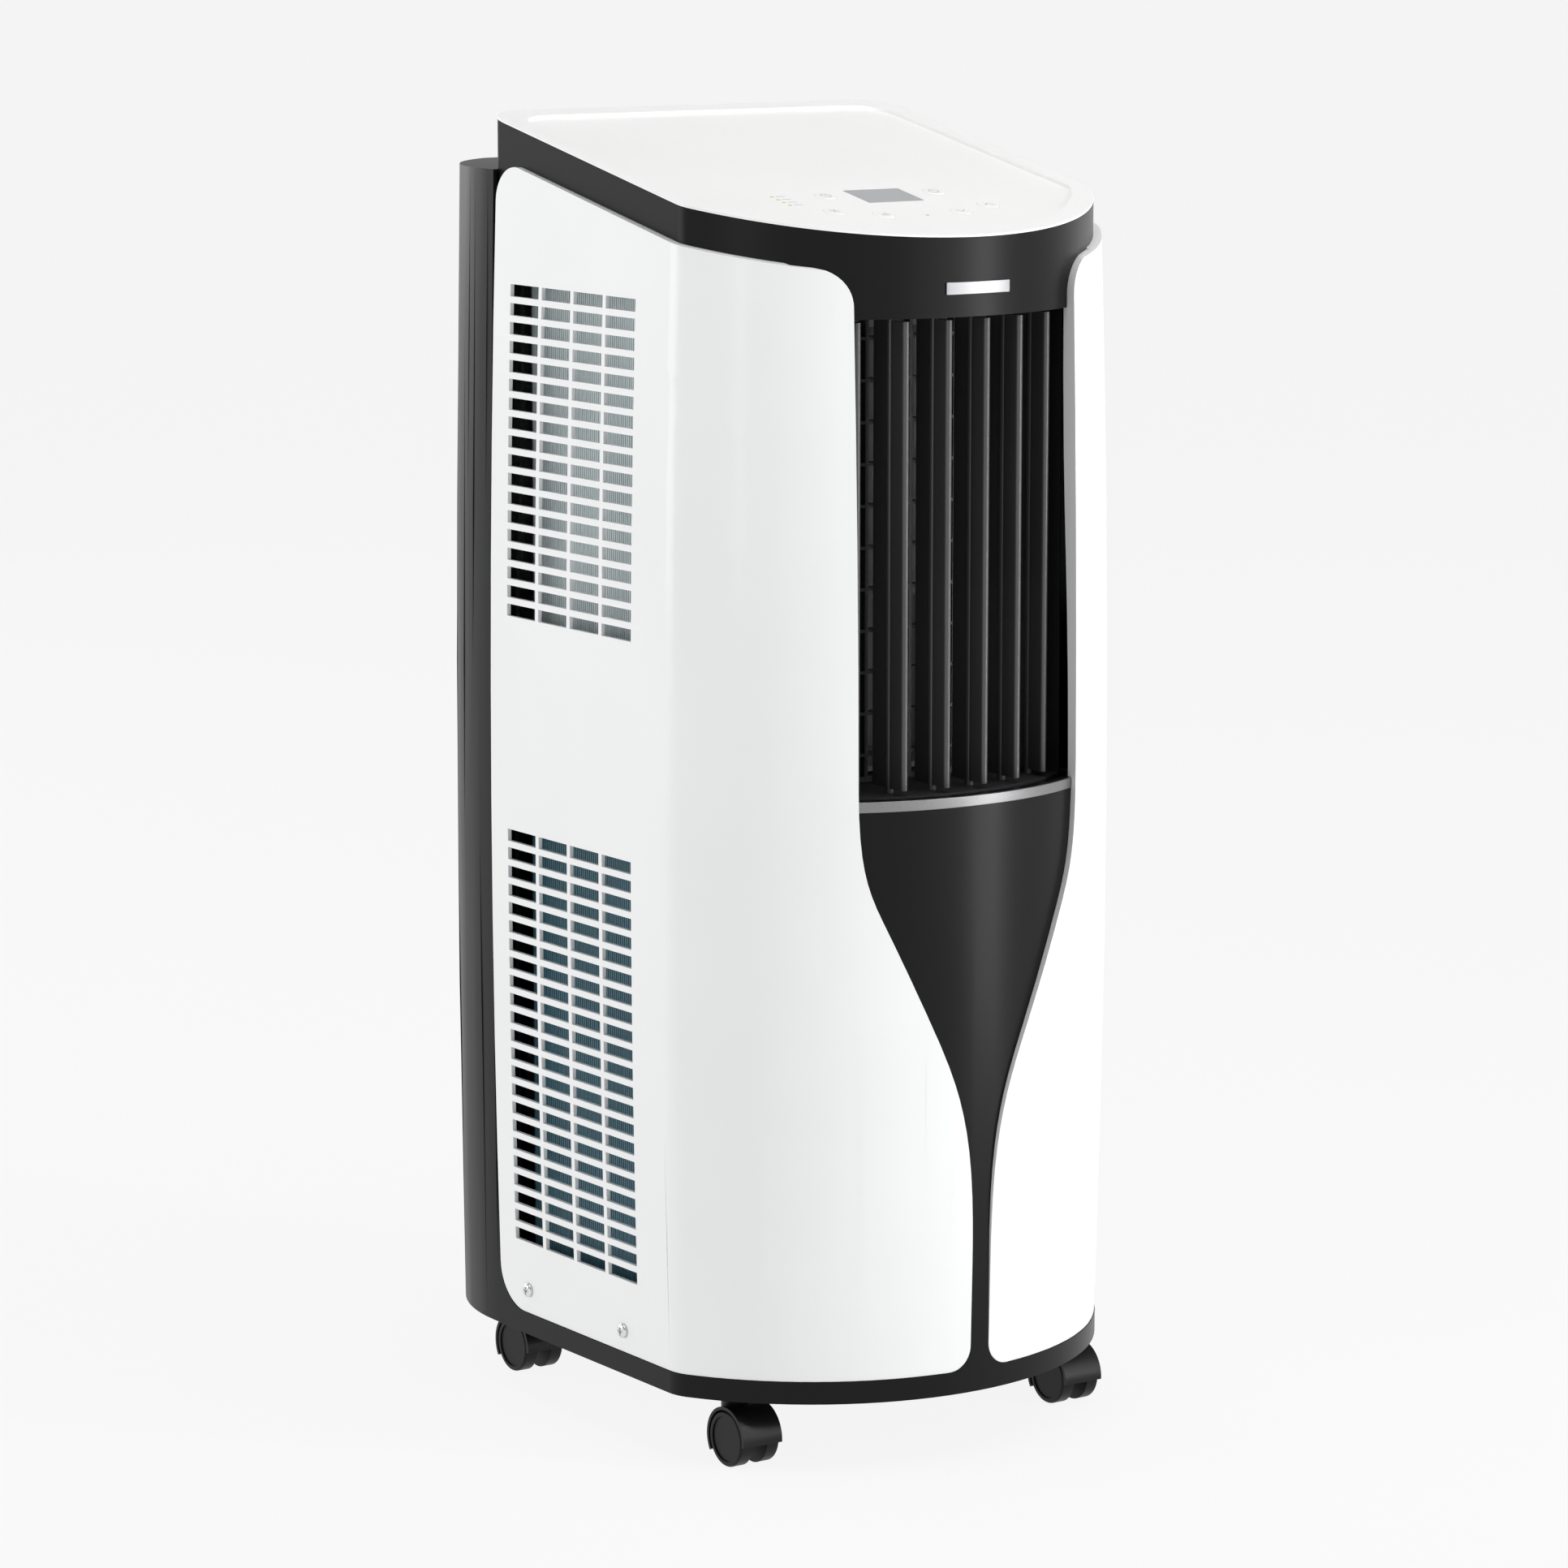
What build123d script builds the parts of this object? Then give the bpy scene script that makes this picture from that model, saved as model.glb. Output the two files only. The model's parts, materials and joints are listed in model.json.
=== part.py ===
from build123d import *
import math
import os

os.makedirs("parts", exist_ok=True)

# ---------------------------------------------------------------- driving dimensions, mm
height = 770.0
half_width = 151.2          # side walls at the skirt, before the barrel swell
front_radius = 171.5        # bowed front, in plan
corner_radius = 26.0        # soft vertical corner between side and front
tail_radius = 118.0         # rear shell closes in with this arc

front_y = -197.5            # skirt line, front and back
rear_y = 198.4
tail_corner = 12.0
seam_y = 88.0               # front housing meets the rear shell here
tail_start_y = 94.5         # the rear shell starts to close in
band_rear_y = 104.5         # rear edge of the head and its lid
band_rear_corner = 22.0

skirt_z = 41.3              # underside of the body
panel_bottom_z = 54.7
strip_z = 385.7
strip_height = 6.2
opening_z = 392.0           # air outlet, bottom and top
opening_top_z = 663.3
opening_half = 80.5
ledge_z = 737.0             # step on top of the rear shell

head_lean = 7.0             # the head is this much slimmer all round than the skirt
housing_wall = 5.7
shell_wall = 2.5
fit_gap = 0.3               # gap between fixed neighbours
panel_recess = 3.2          # the housing steps in this much under a side panel
panel_inner_x = 77.0        # panel edge beside the air outlet
panel_stem_x = 6.5          # panel edge beside the narrow stem
panel_rear_y = 84.5
panel_top_drop = 22.0       # height of the band above the panels

lid_tilt = math.degrees(math.atan(0.2066))
lid_edge = 1.2              # white edge that shows above the band
lid_dish = 2.0              # the control field lies this much below the rim
lid_rim = 13.0
lid_sheet = 2.5

slot_length = 30.9
slot_height = 7.2
slot_pitch_y = 34.3
slot_pitch_z = 11.05
slot_columns = 4
upper_rows = 18
lower_rows = 23
upper_grille_z = 574.0
lower_grille_z = 223.8
grille_y = -0.8

upper_fan_z = 575.0
lower_fan_z = 165.0
exhaust_z = 285.0
exhaust_radius = 65.0       # inside of the collar, for a 130 mm hose

louvre_count = 6
louvre_pitch = 26.5
louvre_chord = 32.0
louvre_pin = 2.5
louvre_nose_radius = 156.5  # plan radius on which the blades' noses lie
running_gap = 0.06

key_radius = 6.5
key_travel = 0.8
display_width = 39.0
display_length = 27.5
display_y = -98.5
key_points = {               # plan position of each key, on the control field
    "key_mode": (-54.0, -126.5),
    "key_speed": (-27.0, -137.0),
    "key_down": (27.0, -137.0),
    "key_up": (54.0, -126.5),
    "key_timer": (-38.0, -95.0),
    "key_power": (38.0, -95.0),
}
lamp_radius = 1.2
lamp_points = [(0.0, -141.5)] + [(-73.0, -92.0 - 6.0 * row) for row in range(4)]

filter_y = 188.0
filter_half = 84.0
filter_thickness = 4.0
drain_point = (-55.0, 75.0)
drain_radius = 7.9
gland_point = (62.0, 85.0)
gland_radius = 8.0

wheel_radius = 16.3
wheel_width = 8.5
wheel_inner = 5.0           # half gap between the twin wheels
stem_radius = 5.0
caster_trail = 10.0
caster_x = {"front": 116.4, "rear": 111.0}
caster_y = {"front": -116.3, "rear": 126.5}

centre_y = front_y + front_radius
corner_x = half_width - corner_radius
corner_y = centre_y - math.sqrt((front_radius - corner_radius) ** 2 - corner_x ** 2)

tilt = math.radians(lid_tilt)
lid_normal = (0, -math.sin(tilt), math.cos(tilt))


def lid_plane(lift):
    """The slanting top plane, moved up by lift along the vertical."""
    return Plane(origin=(0, band_rear_y, height + lift), x_dir=(1, 0, 0), z_dir=lid_normal)


def lid_z(y):
    return height + (y - band_rear_y) * math.tan(tilt)


def control_plane(x, y, lift):
    """Plane parallel to the lid's top, lifted square to it over a plan point."""
    origin = (x, y + lift * lid_normal[1], lid_z(y) + lift * lid_normal[2])
    return Plane(origin=origin, x_dir=(1, 0, 0), z_dir=lid_normal)


def save(builder, label):
    builder.part.label = label
    export_step(builder.part, f"parts/{label}.step")


def slab(face, thickness):
    """A flat face given thickness, kept out of whatever is being built."""
    return extrude(face, amount=thickness, mode=Mode.PRIVATE)


def block(x, y, z, at):
    return Pos(*at) * Box(x, y, z, mode=Mode.PRIVATE)


def half(solid, plane, keep):
    """The part of a solid on one side of a plane, kept out of whatever is being built."""
    return split(solid, bisect_by=plane, keep=keep, mode=Mode.PRIVATE)


# ---------------------------------------------------------------- outlines shared by the shells

def front_corner(grow):
    """Right corner arc of an outline grown by grow: side end, middle and front end."""
    turn = math.atan2(corner_y - centre_y, corner_x)
    radius = corner_radius + grow
    ends = []
    for angle in (0, turn / 2, turn):
        ends.append((corner_x + radius * math.cos(angle), corner_y + radius * math.sin(angle)))
    return ends


def draw_front(grow, back_y):
    """Left side, bowed front and right side, from back_y round to back_y."""
    side, mid, front = front_corner(grow)
    Line((-side[0], back_y), (-side[0], side[1]))
    ThreePointArc((-side[0], side[1]), (-mid[0], mid[1]), (-front[0], front[1]))
    ThreePointArc((-front[0], front[1]), (0, front_y - grow), front)
    ThreePointArc(front, mid, side)
    Line(side, (side[0], back_y))


def tail_half_width(y, grow=0.0):
    """Half width of the rear shell at a depth y behind its start."""
    rise = y - tail_start_y
    return half_width - tail_radius + math.sqrt((tail_radius + grow) ** 2 - rise ** 2)


def draw_tail(grow):
    """Left tail arc, flat back and right tail arc."""
    back = rear_y + grow
    side_x = half_width + grow
    end_x = tail_half_width(back, grow)
    mid_y = (tail_start_y + back) / 2
    mid_x = tail_half_width(mid_y, grow)
    ThreePointArc((-side_x, tail_start_y), (-mid_x, mid_y), (-end_x, back))
    Line((-end_x, back), (end_x, back))
    ThreePointArc((end_x, back), (mid_x, mid_y), (side_x, tail_start_y))


def body_face(grow, level):
    """Whole body outline, front and tail, as a flat face at a level."""
    with BuildSketch(Plane.XY.offset(level)) as outline:
        with BuildLine():
            draw_front(grow, tail_start_y)
            draw_tail(grow)
        make_face()
    return outline.sketch


def head_face(grow, level):
    """Outline of the head: the bowed front with a straight back."""
    with BuildSketch(Plane.XY.offset(level)) as outline:
        with BuildLine():
            draw_front(grow, band_rear_y + grow + head_lean)
            back = band_rear_y + grow + head_lean
            Line((half_width + grow, back), (-half_width - grow, back))
        make_face()
        back_corners = outline.vertices().group_by(Axis.Y)[-1]
        fillet(back_corners, band_rear_corner)
    return outline.sketch


def ring(face_of, outer, inner, low, high):
    """Upright wall between two offsets of an outline."""
    return slab(face_of(outer, low), high - low) - slab(face_of(inner, low), high - low)


# ---------------------------------------------------------------- front housing profile

def core_lean(z):
    """Inward lean of the housing surface: none low down, head_lean at the air outlet's top."""
    span = opening_top_z - strip_z
    if z <= strip_z:
        return 0.0
    if z >= opening_top_z:
        return head_lean
    part = (z - strip_z) / span
    return head_lean * (2 * part ** 2 if part < 0.5 else 1 - 2 * (1 - part) ** 2)


def draw_core(outset, low, high, flip=False):
    """Housing surface seen edge on: upright, two gentle arcs, upright again."""
    middle = (strip_z + opening_top_z) / 2
    quarter = (opening_top_z - strip_z) / 4
    head = outset - head_lean
    Line((outset, low), (outset, strip_z))
    ThreePointArc(
        (outset, strip_z),
        (outset - core_lean(strip_z + quarter), strip_z + quarter),
        (outset - head_lean / 2, middle),
    )
    ThreePointArc(
        (outset - head_lean / 2, middle),
        (outset - core_lean(opening_top_z - quarter), opening_top_z - quarter),
        (head, opening_top_z),
    )
    Line((head, opening_top_z), (head, high))


def wall_plane(back_y):
    """Section plane at the left rear end of a wall run; x points out, y points up."""
    return Plane(origin=(-half_width, back_y, 0), x_dir=(-1, 0, 0), z_dir=(0, 1, 0))


def core_wall(inner, outer, low, high, back_y):
    """A wall between two offsets of the housing surface, swept round the front."""
    with BuildPart() as wall:
        with BuildLine() as run:
            draw_front(0, back_y)
        with BuildSketch(wall_plane(back_y)):
            with BuildLine():
                draw_core(outer, low, high)
                Line((outer - head_lean, high), (inner - head_lean, high))
                draw_core(inner, low, high)
                Line((inner, low), (outer, low))
            make_face()
        sweep(path=run.line)
    return wall.part


# ---------------------------------------------------------------- barrel shapes

def panel_swell(z):
    """How far the side panels stand outside the skirt line at a height."""
    return 3.9 - 5.0e-5 * (z - 352.0) ** 2


def tail_swell(z):
    """The same for the rear shell, a little less full."""
    return 1.4 - 2.8e-5 * (z - 310.0) ** 2


def draw_swell(swell, inset, low, high):
    middle = (low + high) / 2
    ThreePointArc(
        (swell(low) - inset, low),
        (swell(middle) - inset, middle),
        (swell(high) - inset, high),
    )


def panel_skin(inset, back_recess, low):
    """Swept wall from the recessed housing surface out to the panel's barrel surface."""
    high = height - panel_top_drop
    with BuildPart() as skin:
        with BuildLine() as run:
            draw_front(0, panel_rear_y + 2)
        with BuildSketch(wall_plane(panel_rear_y + 2)):
            with BuildLine():
                draw_swell(panel_swell, inset, low, high)
                Line((panel_swell(high) - inset, high), (-back_recess - head_lean, high))
                draw_core(-back_recess, low, high)
                Line((-back_recess, low), (panel_swell(low) - inset, low))
            make_face()
        sweep(path=run.line)
    return skin.part


def panel_zone(grow):
    """Solid that holds the left panel's whole outline, grown by grow all round."""
    low = panel_bottom_z - grow
    back = panel_rear_y + grow
    far = front_y - 20
    drop = panel_top_drop - grow
    inner = panel_inner_x - grow
    stem = panel_stem_x - grow
    with BuildPart() as zone:
        with BuildSketch(Plane.YZ) as side_view:
            with BuildLine():
                Polyline(
                    (far, low), (back, low), (back, lid_z(back) - drop), (far, lid_z(far) - drop),
                    close=True,
                )
            make_face()
            rear_points = side_view.vertices().group_by(Axis.X)[-1].sort_by(Axis.Y)
            fillet(rear_points[0], 26 + grow)
            rear_points = side_view.vertices().group_by(Axis.X)[-1].sort_by(Axis.Y)
            fillet(rear_points[-1], 20 + grow)
        extrude(amount=-200)
        with BuildSketch(Plane.XZ) as front_view:
            with BuildLine():
                Line((-200, low), (-stem, low))
                Line((-stem, low), (-stem, 115))
                Spline(
                    (-stem, 115), (-17.8 + grow, 219), (-38.4 + grow, 268), (-61 + grow, 317),
                    (-inner, 400),
                    tangents=((0, 1), (0, 1)),
                )
                Line((-inner, 400), (-inner, 690.4 + grow))
                Line((-inner, 690.4 + grow), (-105, 694.2 + grow))
                Line((-105, 694.2 + grow), (-160, 760))
                Line((-160, 760), (-200, 760))
                Line((-200, 760), (-200, low))
            make_face()
            foot = front_view.vertices().sort_by_distance((-stem, low, 0))[0]
            fillet(foot, 14 + grow)
            brow = front_view.vertices().sort_by_distance((-inner, 690.4, 0))[0]
            fillet(brow, 22 + grow)
        extrude(amount=250, both=True, mode=Mode.INTERSECT)
    return zone.part


# ---------------------------------------------------------------- side panels, node by node

def grille_slots(rows, middle_z):
    """Cutters for one grille: rows of short slots in four columns."""
    with BuildPart() as cutters:
        with BuildSketch(Plane.YZ.offset(-half_width - 12)):
            with Locations((grille_y, middle_z)):
                with GridLocations(slot_pitch_y, slot_pitch_z, slot_columns, rows):
                    Rectangle(slot_length, slot_height)
        extrude(amount=24)
    return cutters.part


panel_screw_points = [(53.0, 69.0), (-51.4, 67.5)]
left_zone = panel_zone(0)
left_pocket = panel_zone(fit_gap)

with BuildPart() as side_panel_left:
    add(panel_skin(0, panel_recess - fit_gap, panel_bottom_z - 8))
    add(left_zone, mode=Mode.INTERSECT)
    add(panel_skin(shell_wall, panel_recess, panel_bottom_z + 8) & panel_zone(-4.0), mode=Mode.SUBTRACT)
    add(grille_slots(upper_rows, upper_grille_z), mode=Mode.SUBTRACT)
    add(grille_slots(lower_rows, lower_grille_z), mode=Mode.SUBTRACT)
    with BuildSketch(Plane.YZ.offset(-half_width - 12)):
        with Locations(panel_screw_points):
            Circle(2.2)
    extrude(amount=24, mode=Mode.SUBTRACT)
save(side_panel_left, "side_panel_left")

with BuildPart() as side_panel_right:
    mirror(side_panel_left.part, about=Plane.YZ)
save(side_panel_right, "side_panel_right")


# ---------------------------------------------------------------- front housing

def both_sides(cutter):
    """A left-hand cutter together with its mirror image."""
    return cutter + mirror(cutter, about=Plane.YZ, mode=Mode.PRIVATE)


with BuildPart() as front_housing:
    add(core_wall(-housing_wall, 0, skirt_z, height + 5, seam_y))
    add(ring(head_face, -head_lean, -head_lean - housing_wall, ledge_z + 0.5, height + 5))
    split(bisect_by=lid_plane(-lid_edge), keep=Keep.BOTTOM)
    add(both_sides(core_wall(-panel_recess, 15, 0, height + 10, seam_y + 20) & left_pocket),
        mode=Mode.SUBTRACT)
    with BuildSketch(Plane.YZ):
        with Locations((grille_y, upper_grille_z)):
            RectangleRounded(140, 202, 4)
        with Locations((grille_y, lower_grille_z)):
            RectangleRounded(140, 258, 4)
    extrude(amount=200, both=True, mode=Mode.SUBTRACT)
    with BuildSketch(Plane.XZ.offset(60)):
        with Locations((0, (opening_z + opening_top_z) / 2)):
            Rectangle(2 * opening_half, opening_top_z - opening_z)
    extrude(amount=200, mode=Mode.SUBTRACT)
    groove = ring(body_face, 5, -1.5, strip_z - 0.1, opening_z + 0.5)
    add(groove & block(2 * panel_inner_x - 0.2, 100, 60, (0, front_y, strip_z)),
        mode=Mode.SUBTRACT)
    with BuildSketch(Plane.YZ):
        with Locations(panel_screw_points):
            Circle(1.5)
    extrude(amount=200, both=True, mode=Mode.SUBTRACT)
save(front_housing, "front_housing")


# ---------------------------------------------------------------- rear shell and base

def tail_run(start_y):
    """Plan run of the rear shell: left side, arc, flat back, arc, right side."""
    with BuildLine() as run:
        Line((-half_width, start_y), (-half_width, tail_start_y))
        draw_tail(0)
        Line((half_width, tail_start_y), (half_width, start_y))
        corners = run.vertices().group_by(Axis.Y)[-1]
        fillet(corners, tail_corner)
    return run.line


shell_start_y = seam_y + fit_gap
rear_wall_y = rear_y - shell_wall

with BuildPart() as rear_shell:
    with BuildSketch(wall_plane(shell_start_y)):
        with BuildLine():
            draw_swell(tail_swell, 0, skirt_z, ledge_z)
            Line((tail_swell(ledge_z), ledge_z), (tail_swell(ledge_z) - shell_wall, ledge_z))
            draw_swell(tail_swell, shell_wall, skirt_z, ledge_z)
            Line((tail_swell(skirt_z) - shell_wall, skirt_z), (tail_swell(skirt_z), skirt_z))
        make_face()
    sweep(path=tail_run(shell_start_y))
    ledge = slab(body_face(tail_swell(ledge_z) - 0.2, ledge_z - shell_wall), shell_wall)
    add(ledge & block(400, 200, 20, (0, shell_start_y + 100, ledge_z)))
    for side in (-1, 1):
        with Locations((side * 86.0, filter_y - 0.5, (ledge_z + 478) / 2)):
            Box(2.6, 8, ledge_z - 478)
    with BuildSketch(Plane.XZ.offset(-180)):
        with Locations((0, 590)):
            with GridLocations(76, slot_pitch_z, 2, 20):
                Rectangle(70, 6.4)
        with Locations((0, exhaust_z)):
            Circle(exhaust_radius + 5.2)
        with Locations(drain_point):
            Circle(drain_radius + 0.3)
        with Locations(gland_point):
            Circle(gland_radius + 0.3)
    extrude(amount=-40, mode=Mode.SUBTRACT)
    with Locations((0, filter_y, ledge_z)):
        Box(2 * filter_half + 0.8, filter_thickness + 0.8, 20, mode=Mode.SUBTRACT)
save(rear_shell, "rear_shell")

stem_points = [(side * caster_x[end], caster_y[end]) for end in ("front", "rear") for side in (-1, 1)]
foot_points = [(70 * math.cos(math.radians(a)), 70 * math.sin(math.radians(a)) - 10)
               for a in (90, 210, 330)]
pan_inset = housing_wall + 0.5
pan_floor = 3.0
pan_rim_z = 60.0
floor_z = skirt_z + pan_floor

with BuildPart() as base_pan:
    add(slab(body_face(-pan_inset, skirt_z), pan_rim_z - skirt_z))
    add(slab(body_face(-pan_inset - shell_wall, floor_z), pan_rim_z), mode=Mode.SUBTRACT)
    with BuildSketch(Plane.XY.offset(floor_z)):
        with Locations(stem_points):
            Circle(9)
    extrude(amount=pan_rim_z - floor_z - 1)
    lip = slab(body_face(-pan_inset, skirt_z - 1.4), 1.4)
    add(lip & block(130, 40, 20, (0, front_y + 25, skirt_z)))
    with BuildSketch(Plane.XY.offset(skirt_z - 2)):
        with Locations(stem_points):
            Circle(stem_radius + 0.05)
    extrude(amount=18, mode=Mode.SUBTRACT)
save(base_pan, "base_pan")


# ---------------------------------------------------------------- lid and controls

with BuildPart() as top_cover:
    add(slab(head_face(-head_lean, 600), 200))
    split(bisect_by=lid_plane(0), keep=Keep.BOTTOM)
    split(bisect_by=lid_plane(-lid_dish - lid_sheet), keep=Keep.TOP)
    rim_seat = ring(head_face, -head_lean + 5, -head_lean - housing_wall - fit_gap, 600, 800)
    add(half(rim_seat, lid_plane(-lid_edge), Keep.BOTTOM), mode=Mode.SUBTRACT)
    dish = slab(head_face(-head_lean - lid_rim, 600), 200)
    add(half(dish, lid_plane(-lid_dish), Keep.TOP), mode=Mode.SUBTRACT)
    for x, y in key_points.values():
        with BuildSketch(control_plane(x, y, 2)):
            Circle(key_radius + 0.25)
        extrude(amount=-10, mode=Mode.SUBTRACT)
    with BuildSketch(control_plane(0, display_y, 2)):
        Rectangle(display_width + 0.4, display_length + 0.4)
    extrude(amount=-10, mode=Mode.SUBTRACT)
    for x, y in lamp_points:
        with BuildSketch(control_plane(x, y, 2)):
            Circle(lamp_radius + 0.05)
        extrude(amount=-10, mode=Mode.SUBTRACT)
save(top_cover, "top_cover")


with BuildPart() as display_window:
    with BuildSketch(control_plane(0, display_y, -lid_dish - 0.05)):
        RectangleRounded(display_width, display_length, 1.0)
    extrude(amount=-1.9)
save(display_window, "display_window")

with BuildPart() as indicator_lenses:
    for x, y in lamp_points:
        with BuildSketch(control_plane(x, y, -lid_dish - 0.05)):
            Circle(lamp_radius)
        extrude(amount=-2.3)
save(indicator_lenses, "indicator_lenses")

for key_name, (x, y) in key_points.items():
    with BuildPart() as key:
        with BuildSketch(control_plane(x, y, -1.6)):
            Circle(key_radius)
        extrude(amount=-7.2)
        fillet(key.edges().sort_by(Axis((0, 0, 0), lid_normal))[-1], 0.6)
        with BuildSketch(control_plane(x, y, -5.3)):
            Circle(key_radius + 1.5)
        extrude(amount=-1.0)
    save(key, key_name)

board_y = -115.0
with BuildPart() as control_board:
    with BuildSketch(control_plane(0, board_y, -13.0)):
        Rectangle(156, 76)
    extrude(amount=-1.6)
    for x, y in key_points.values():
        with BuildSketch(control_plane(x, y, -13.0)):
            Rectangle(6, 6)
        extrude(amount=2.6)
    with BuildSketch(control_plane(0, display_y, -13.0)):
        Rectangle(34, 22)
    extrude(amount=8.3)
save(control_board, "control_board")


# ---------------------------------------------------------------- trim on the front

with BuildPart() as trim_strip:
    add(ring(body_face, 0.6, -1.4, strip_z, strip_z + strip_height))
    add(block(2 * panel_inner_x - 0.8, 100, 40, (0, front_y, strip_z)), mode=Mode.INTERSECT)
save(trim_strip, "trim_strip")

with BuildPart() as badge:
    add(ring(head_face, -head_lean + 1.0, -head_lean + 0.05, 676, 683))
    add(block(44, 60, 40, (0, front_y, 680)), mode=Mode.INTERSECT)
save(badge, "badge")


# ---------------------------------------------------------------- air outlet

duct_wall = 2.0
duct_half = opening_half + 0.2
duct_rear_y = -118.0
duct_low = opening_z - 0.3
duct_high = opening_top_z + 0.3
louvre_low = duct_low + 2.8
louvre_high = duct_high - 2.6
crank_z = duct_high + duct_wall + 1.4
crank_thickness = 2.5
crank_arm = 12.0
crank_pin = 1.5
link_low = crank_z + crank_thickness + 0.3
link_thickness = 2.2


def louvre_pivot(index):
    x = (index - (louvre_count - 1) / 2) * louvre_pitch
    nose_y = centre_y - math.sqrt(louvre_nose_radius ** 2 - x ** 2)
    return x, nose_y + louvre_chord / 2


pivots = [louvre_pivot(index) for index in range(louvre_count)]

with BuildPart() as outlet_duct:
    with BuildSketch(Plane.XZ.offset(-duct_rear_y)):
        with Locations((0, (duct_low + duct_high) / 2)):
            Rectangle(2 * (duct_half + duct_wall), duct_high - duct_low + 2 * duct_wall)
            Rectangle(2 * duct_half, duct_high - duct_low, mode=Mode.SUBTRACT)
    extrude(amount=80)
    with BuildSketch(Plane.XY.offset(duct_low - 10)):
        with Locations((0, centre_y)):
            Circle(louvre_nose_radius + 1.0)
    extrude(amount=duct_high - duct_low + 20, mode=Mode.INTERSECT)
    with BuildSketch(Plane.XY.offset(duct_low - 10)):
        with Locations(pivots):
            Circle(louvre_pin + running_gap)
    extrude(amount=duct_high - duct_low + 20, mode=Mode.SUBTRACT)
save(outlet_duct, "outlet_duct")

for index, (x, y) in enumerate(pivots):
    with BuildPart() as louvre:
        with BuildSketch(Plane.XY.offset(louvre_low)):
            with BuildLine():
                nose = y - louvre_chord / 2
                tail = y + louvre_chord / 2
                Line((x - 0.6, tail), (x - 2.2, nose + 2.2))
                ThreePointArc((x - 2.2, nose + 2.2), (x, nose), (x + 2.2, nose + 2.2))
                Line((x + 2.2, nose + 2.2), (x + 0.6, tail))
                Line((x + 0.6, tail), (x - 0.6, tail))
            make_face()
        extrude(amount=louvre_high - louvre_low)
        with BuildSketch(Plane.XY.offset(duct_low - duct_wall)):
            with Locations((x, y)):
                Circle(louvre_pin)
        extrude(amount=crank_z + crank_thickness - duct_low + duct_wall)
        with BuildSketch(Plane.XY.offset(crank_z)):
            with Locations((x, y + crank_arm / 2)):
                SlotOverall(crank_arm + 6, 6, rotation=90)
        extrude(amount=crank_thickness)
        with BuildSketch(Plane.XY.offset(crank_z)):
            with Locations((x, y + crank_arm)):
                Circle(crank_pin)
        extrude(amount=crank_thickness + link_thickness + 0.8)
        if index == 0:
            with BuildSketch(Plane.XY.offset(crank_z)):
                with Locations((x, y)):
                    Circle(louvre_pin)
            extrude(amount=18)
    save(louvre, f"vertical_louvre_{index + 1}")

with BuildPart() as louvre_link:
    with BuildSketch(Plane.XY.offset(link_low)):
        for (x0, y0), (x1, y1) in zip(pivots, pivots[1:]):
            middle = ((x0 + x1) / 2, (y0 + y1) / 2 + crank_arm)
            turn = math.degrees(math.atan2(y1 - y0, x1 - x0))
            with Locations(middle):
                SlotCenterToCenter(math.hypot(x1 - x0, y1 - y0), 7.0, rotation=turn)
        with Locations([(x, y + crank_arm) for x, y in pivots]):
            Circle(crank_pin + running_gap, mode=Mode.SUBTRACT)
    extrude(amount=link_thickness)
save(louvre_link, "louvre_link")

motor_low = link_low + link_thickness + 2.0
with BuildPart() as swing_motor:
    with BuildSketch(Plane.XY.offset(motor_low)):
        with Locations(pivots[0]):
            Circle(13)
            Circle(louvre_pin + running_gap, mode=Mode.SUBTRACT)
    extrude(amount=17)
    with Locations([(pivots[0][0] + side * 9, pivots[0][1] - 6.5) for side in (-1, 1)]):
        with Locations((0, 0, duct_high + duct_wall + 0.05)):
            Box(5, 4, motor_low - duct_high - duct_wall + 1,
                align=(Align.CENTER, Align.CENTER, Align.MIN))
save(swing_motor, "swing_motor")

guide_rear_y = duct_rear_y - 1.5
guide_depth = 6.5
guide_high = duct_high - 0.2
guide_low = duct_low + 0.2
guide_middle = (guide_low + guide_high) / 2
with BuildPart() as guide_grille:
    with BuildSketch(Plane.XZ.offset(-guide_rear_y)):
        with Locations((0, guide_middle)):
            Rectangle(2 * duct_half - 0.4, guide_high - guide_low)
            Rectangle(2 * duct_half - 6, guide_high - guide_low - 6, mode=Mode.SUBTRACT)
            with GridLocations(0, 24, 1, 11):
                Rectangle(2 * duct_half - 4, 1.8)
            with GridLocations(31, 0, 5, 1):
                Rectangle(2.2, guide_high - guide_low - 4)
    extrude(amount=guide_depth)
save(guide_grille, "guide_grille")


# ---------------------------------------------------------------- blowers

shaft_radius = 4.0
blade_count = 36
motor_radius = 38.0
volute_wall = 2.0
bracket_thickness = 3.8
wheel_plate = 2.0
wheel_hub = 12.0


def make_volute(outline, openings, low_y, high_y, bracket_y, middle_z):
    """Blower housing: a hollow outline between two walls, with openings and a motor cross."""
    with BuildPart() as housing:
        add(slab(outline(0, high_y), high_y - low_y))
        depth = high_y - low_y - 2 * volute_wall
        add(slab(outline(-volute_wall, high_y - volute_wall), depth), mode=Mode.SUBTRACT)
        for opening in openings:
            add(opening, mode=Mode.SUBTRACT)
        with BuildSketch(Plane.XZ.offset(-bracket_y)):
            with Locations((0, middle_z)):
                Rectangle(150, 12)
                Rectangle(12, 150)
                Circle(22)
                Circle(9, mode=Mode.SUBTRACT)
        extrude(amount=bracket_thickness)
    return housing.part


def upper_outline(grow, y):
    """Round scroll above, square throat below."""
    with BuildSketch(Plane.XZ.offset(-y)) as outline:
        with Locations((0, upper_fan_z)):
            Circle(100 + grow)
        with Locations((0, (396 + upper_fan_z) / 2)):
            Rectangle(2 * (77 + grow), upper_fan_z - 396 + 2 * grow)
    return outline.sketch


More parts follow.
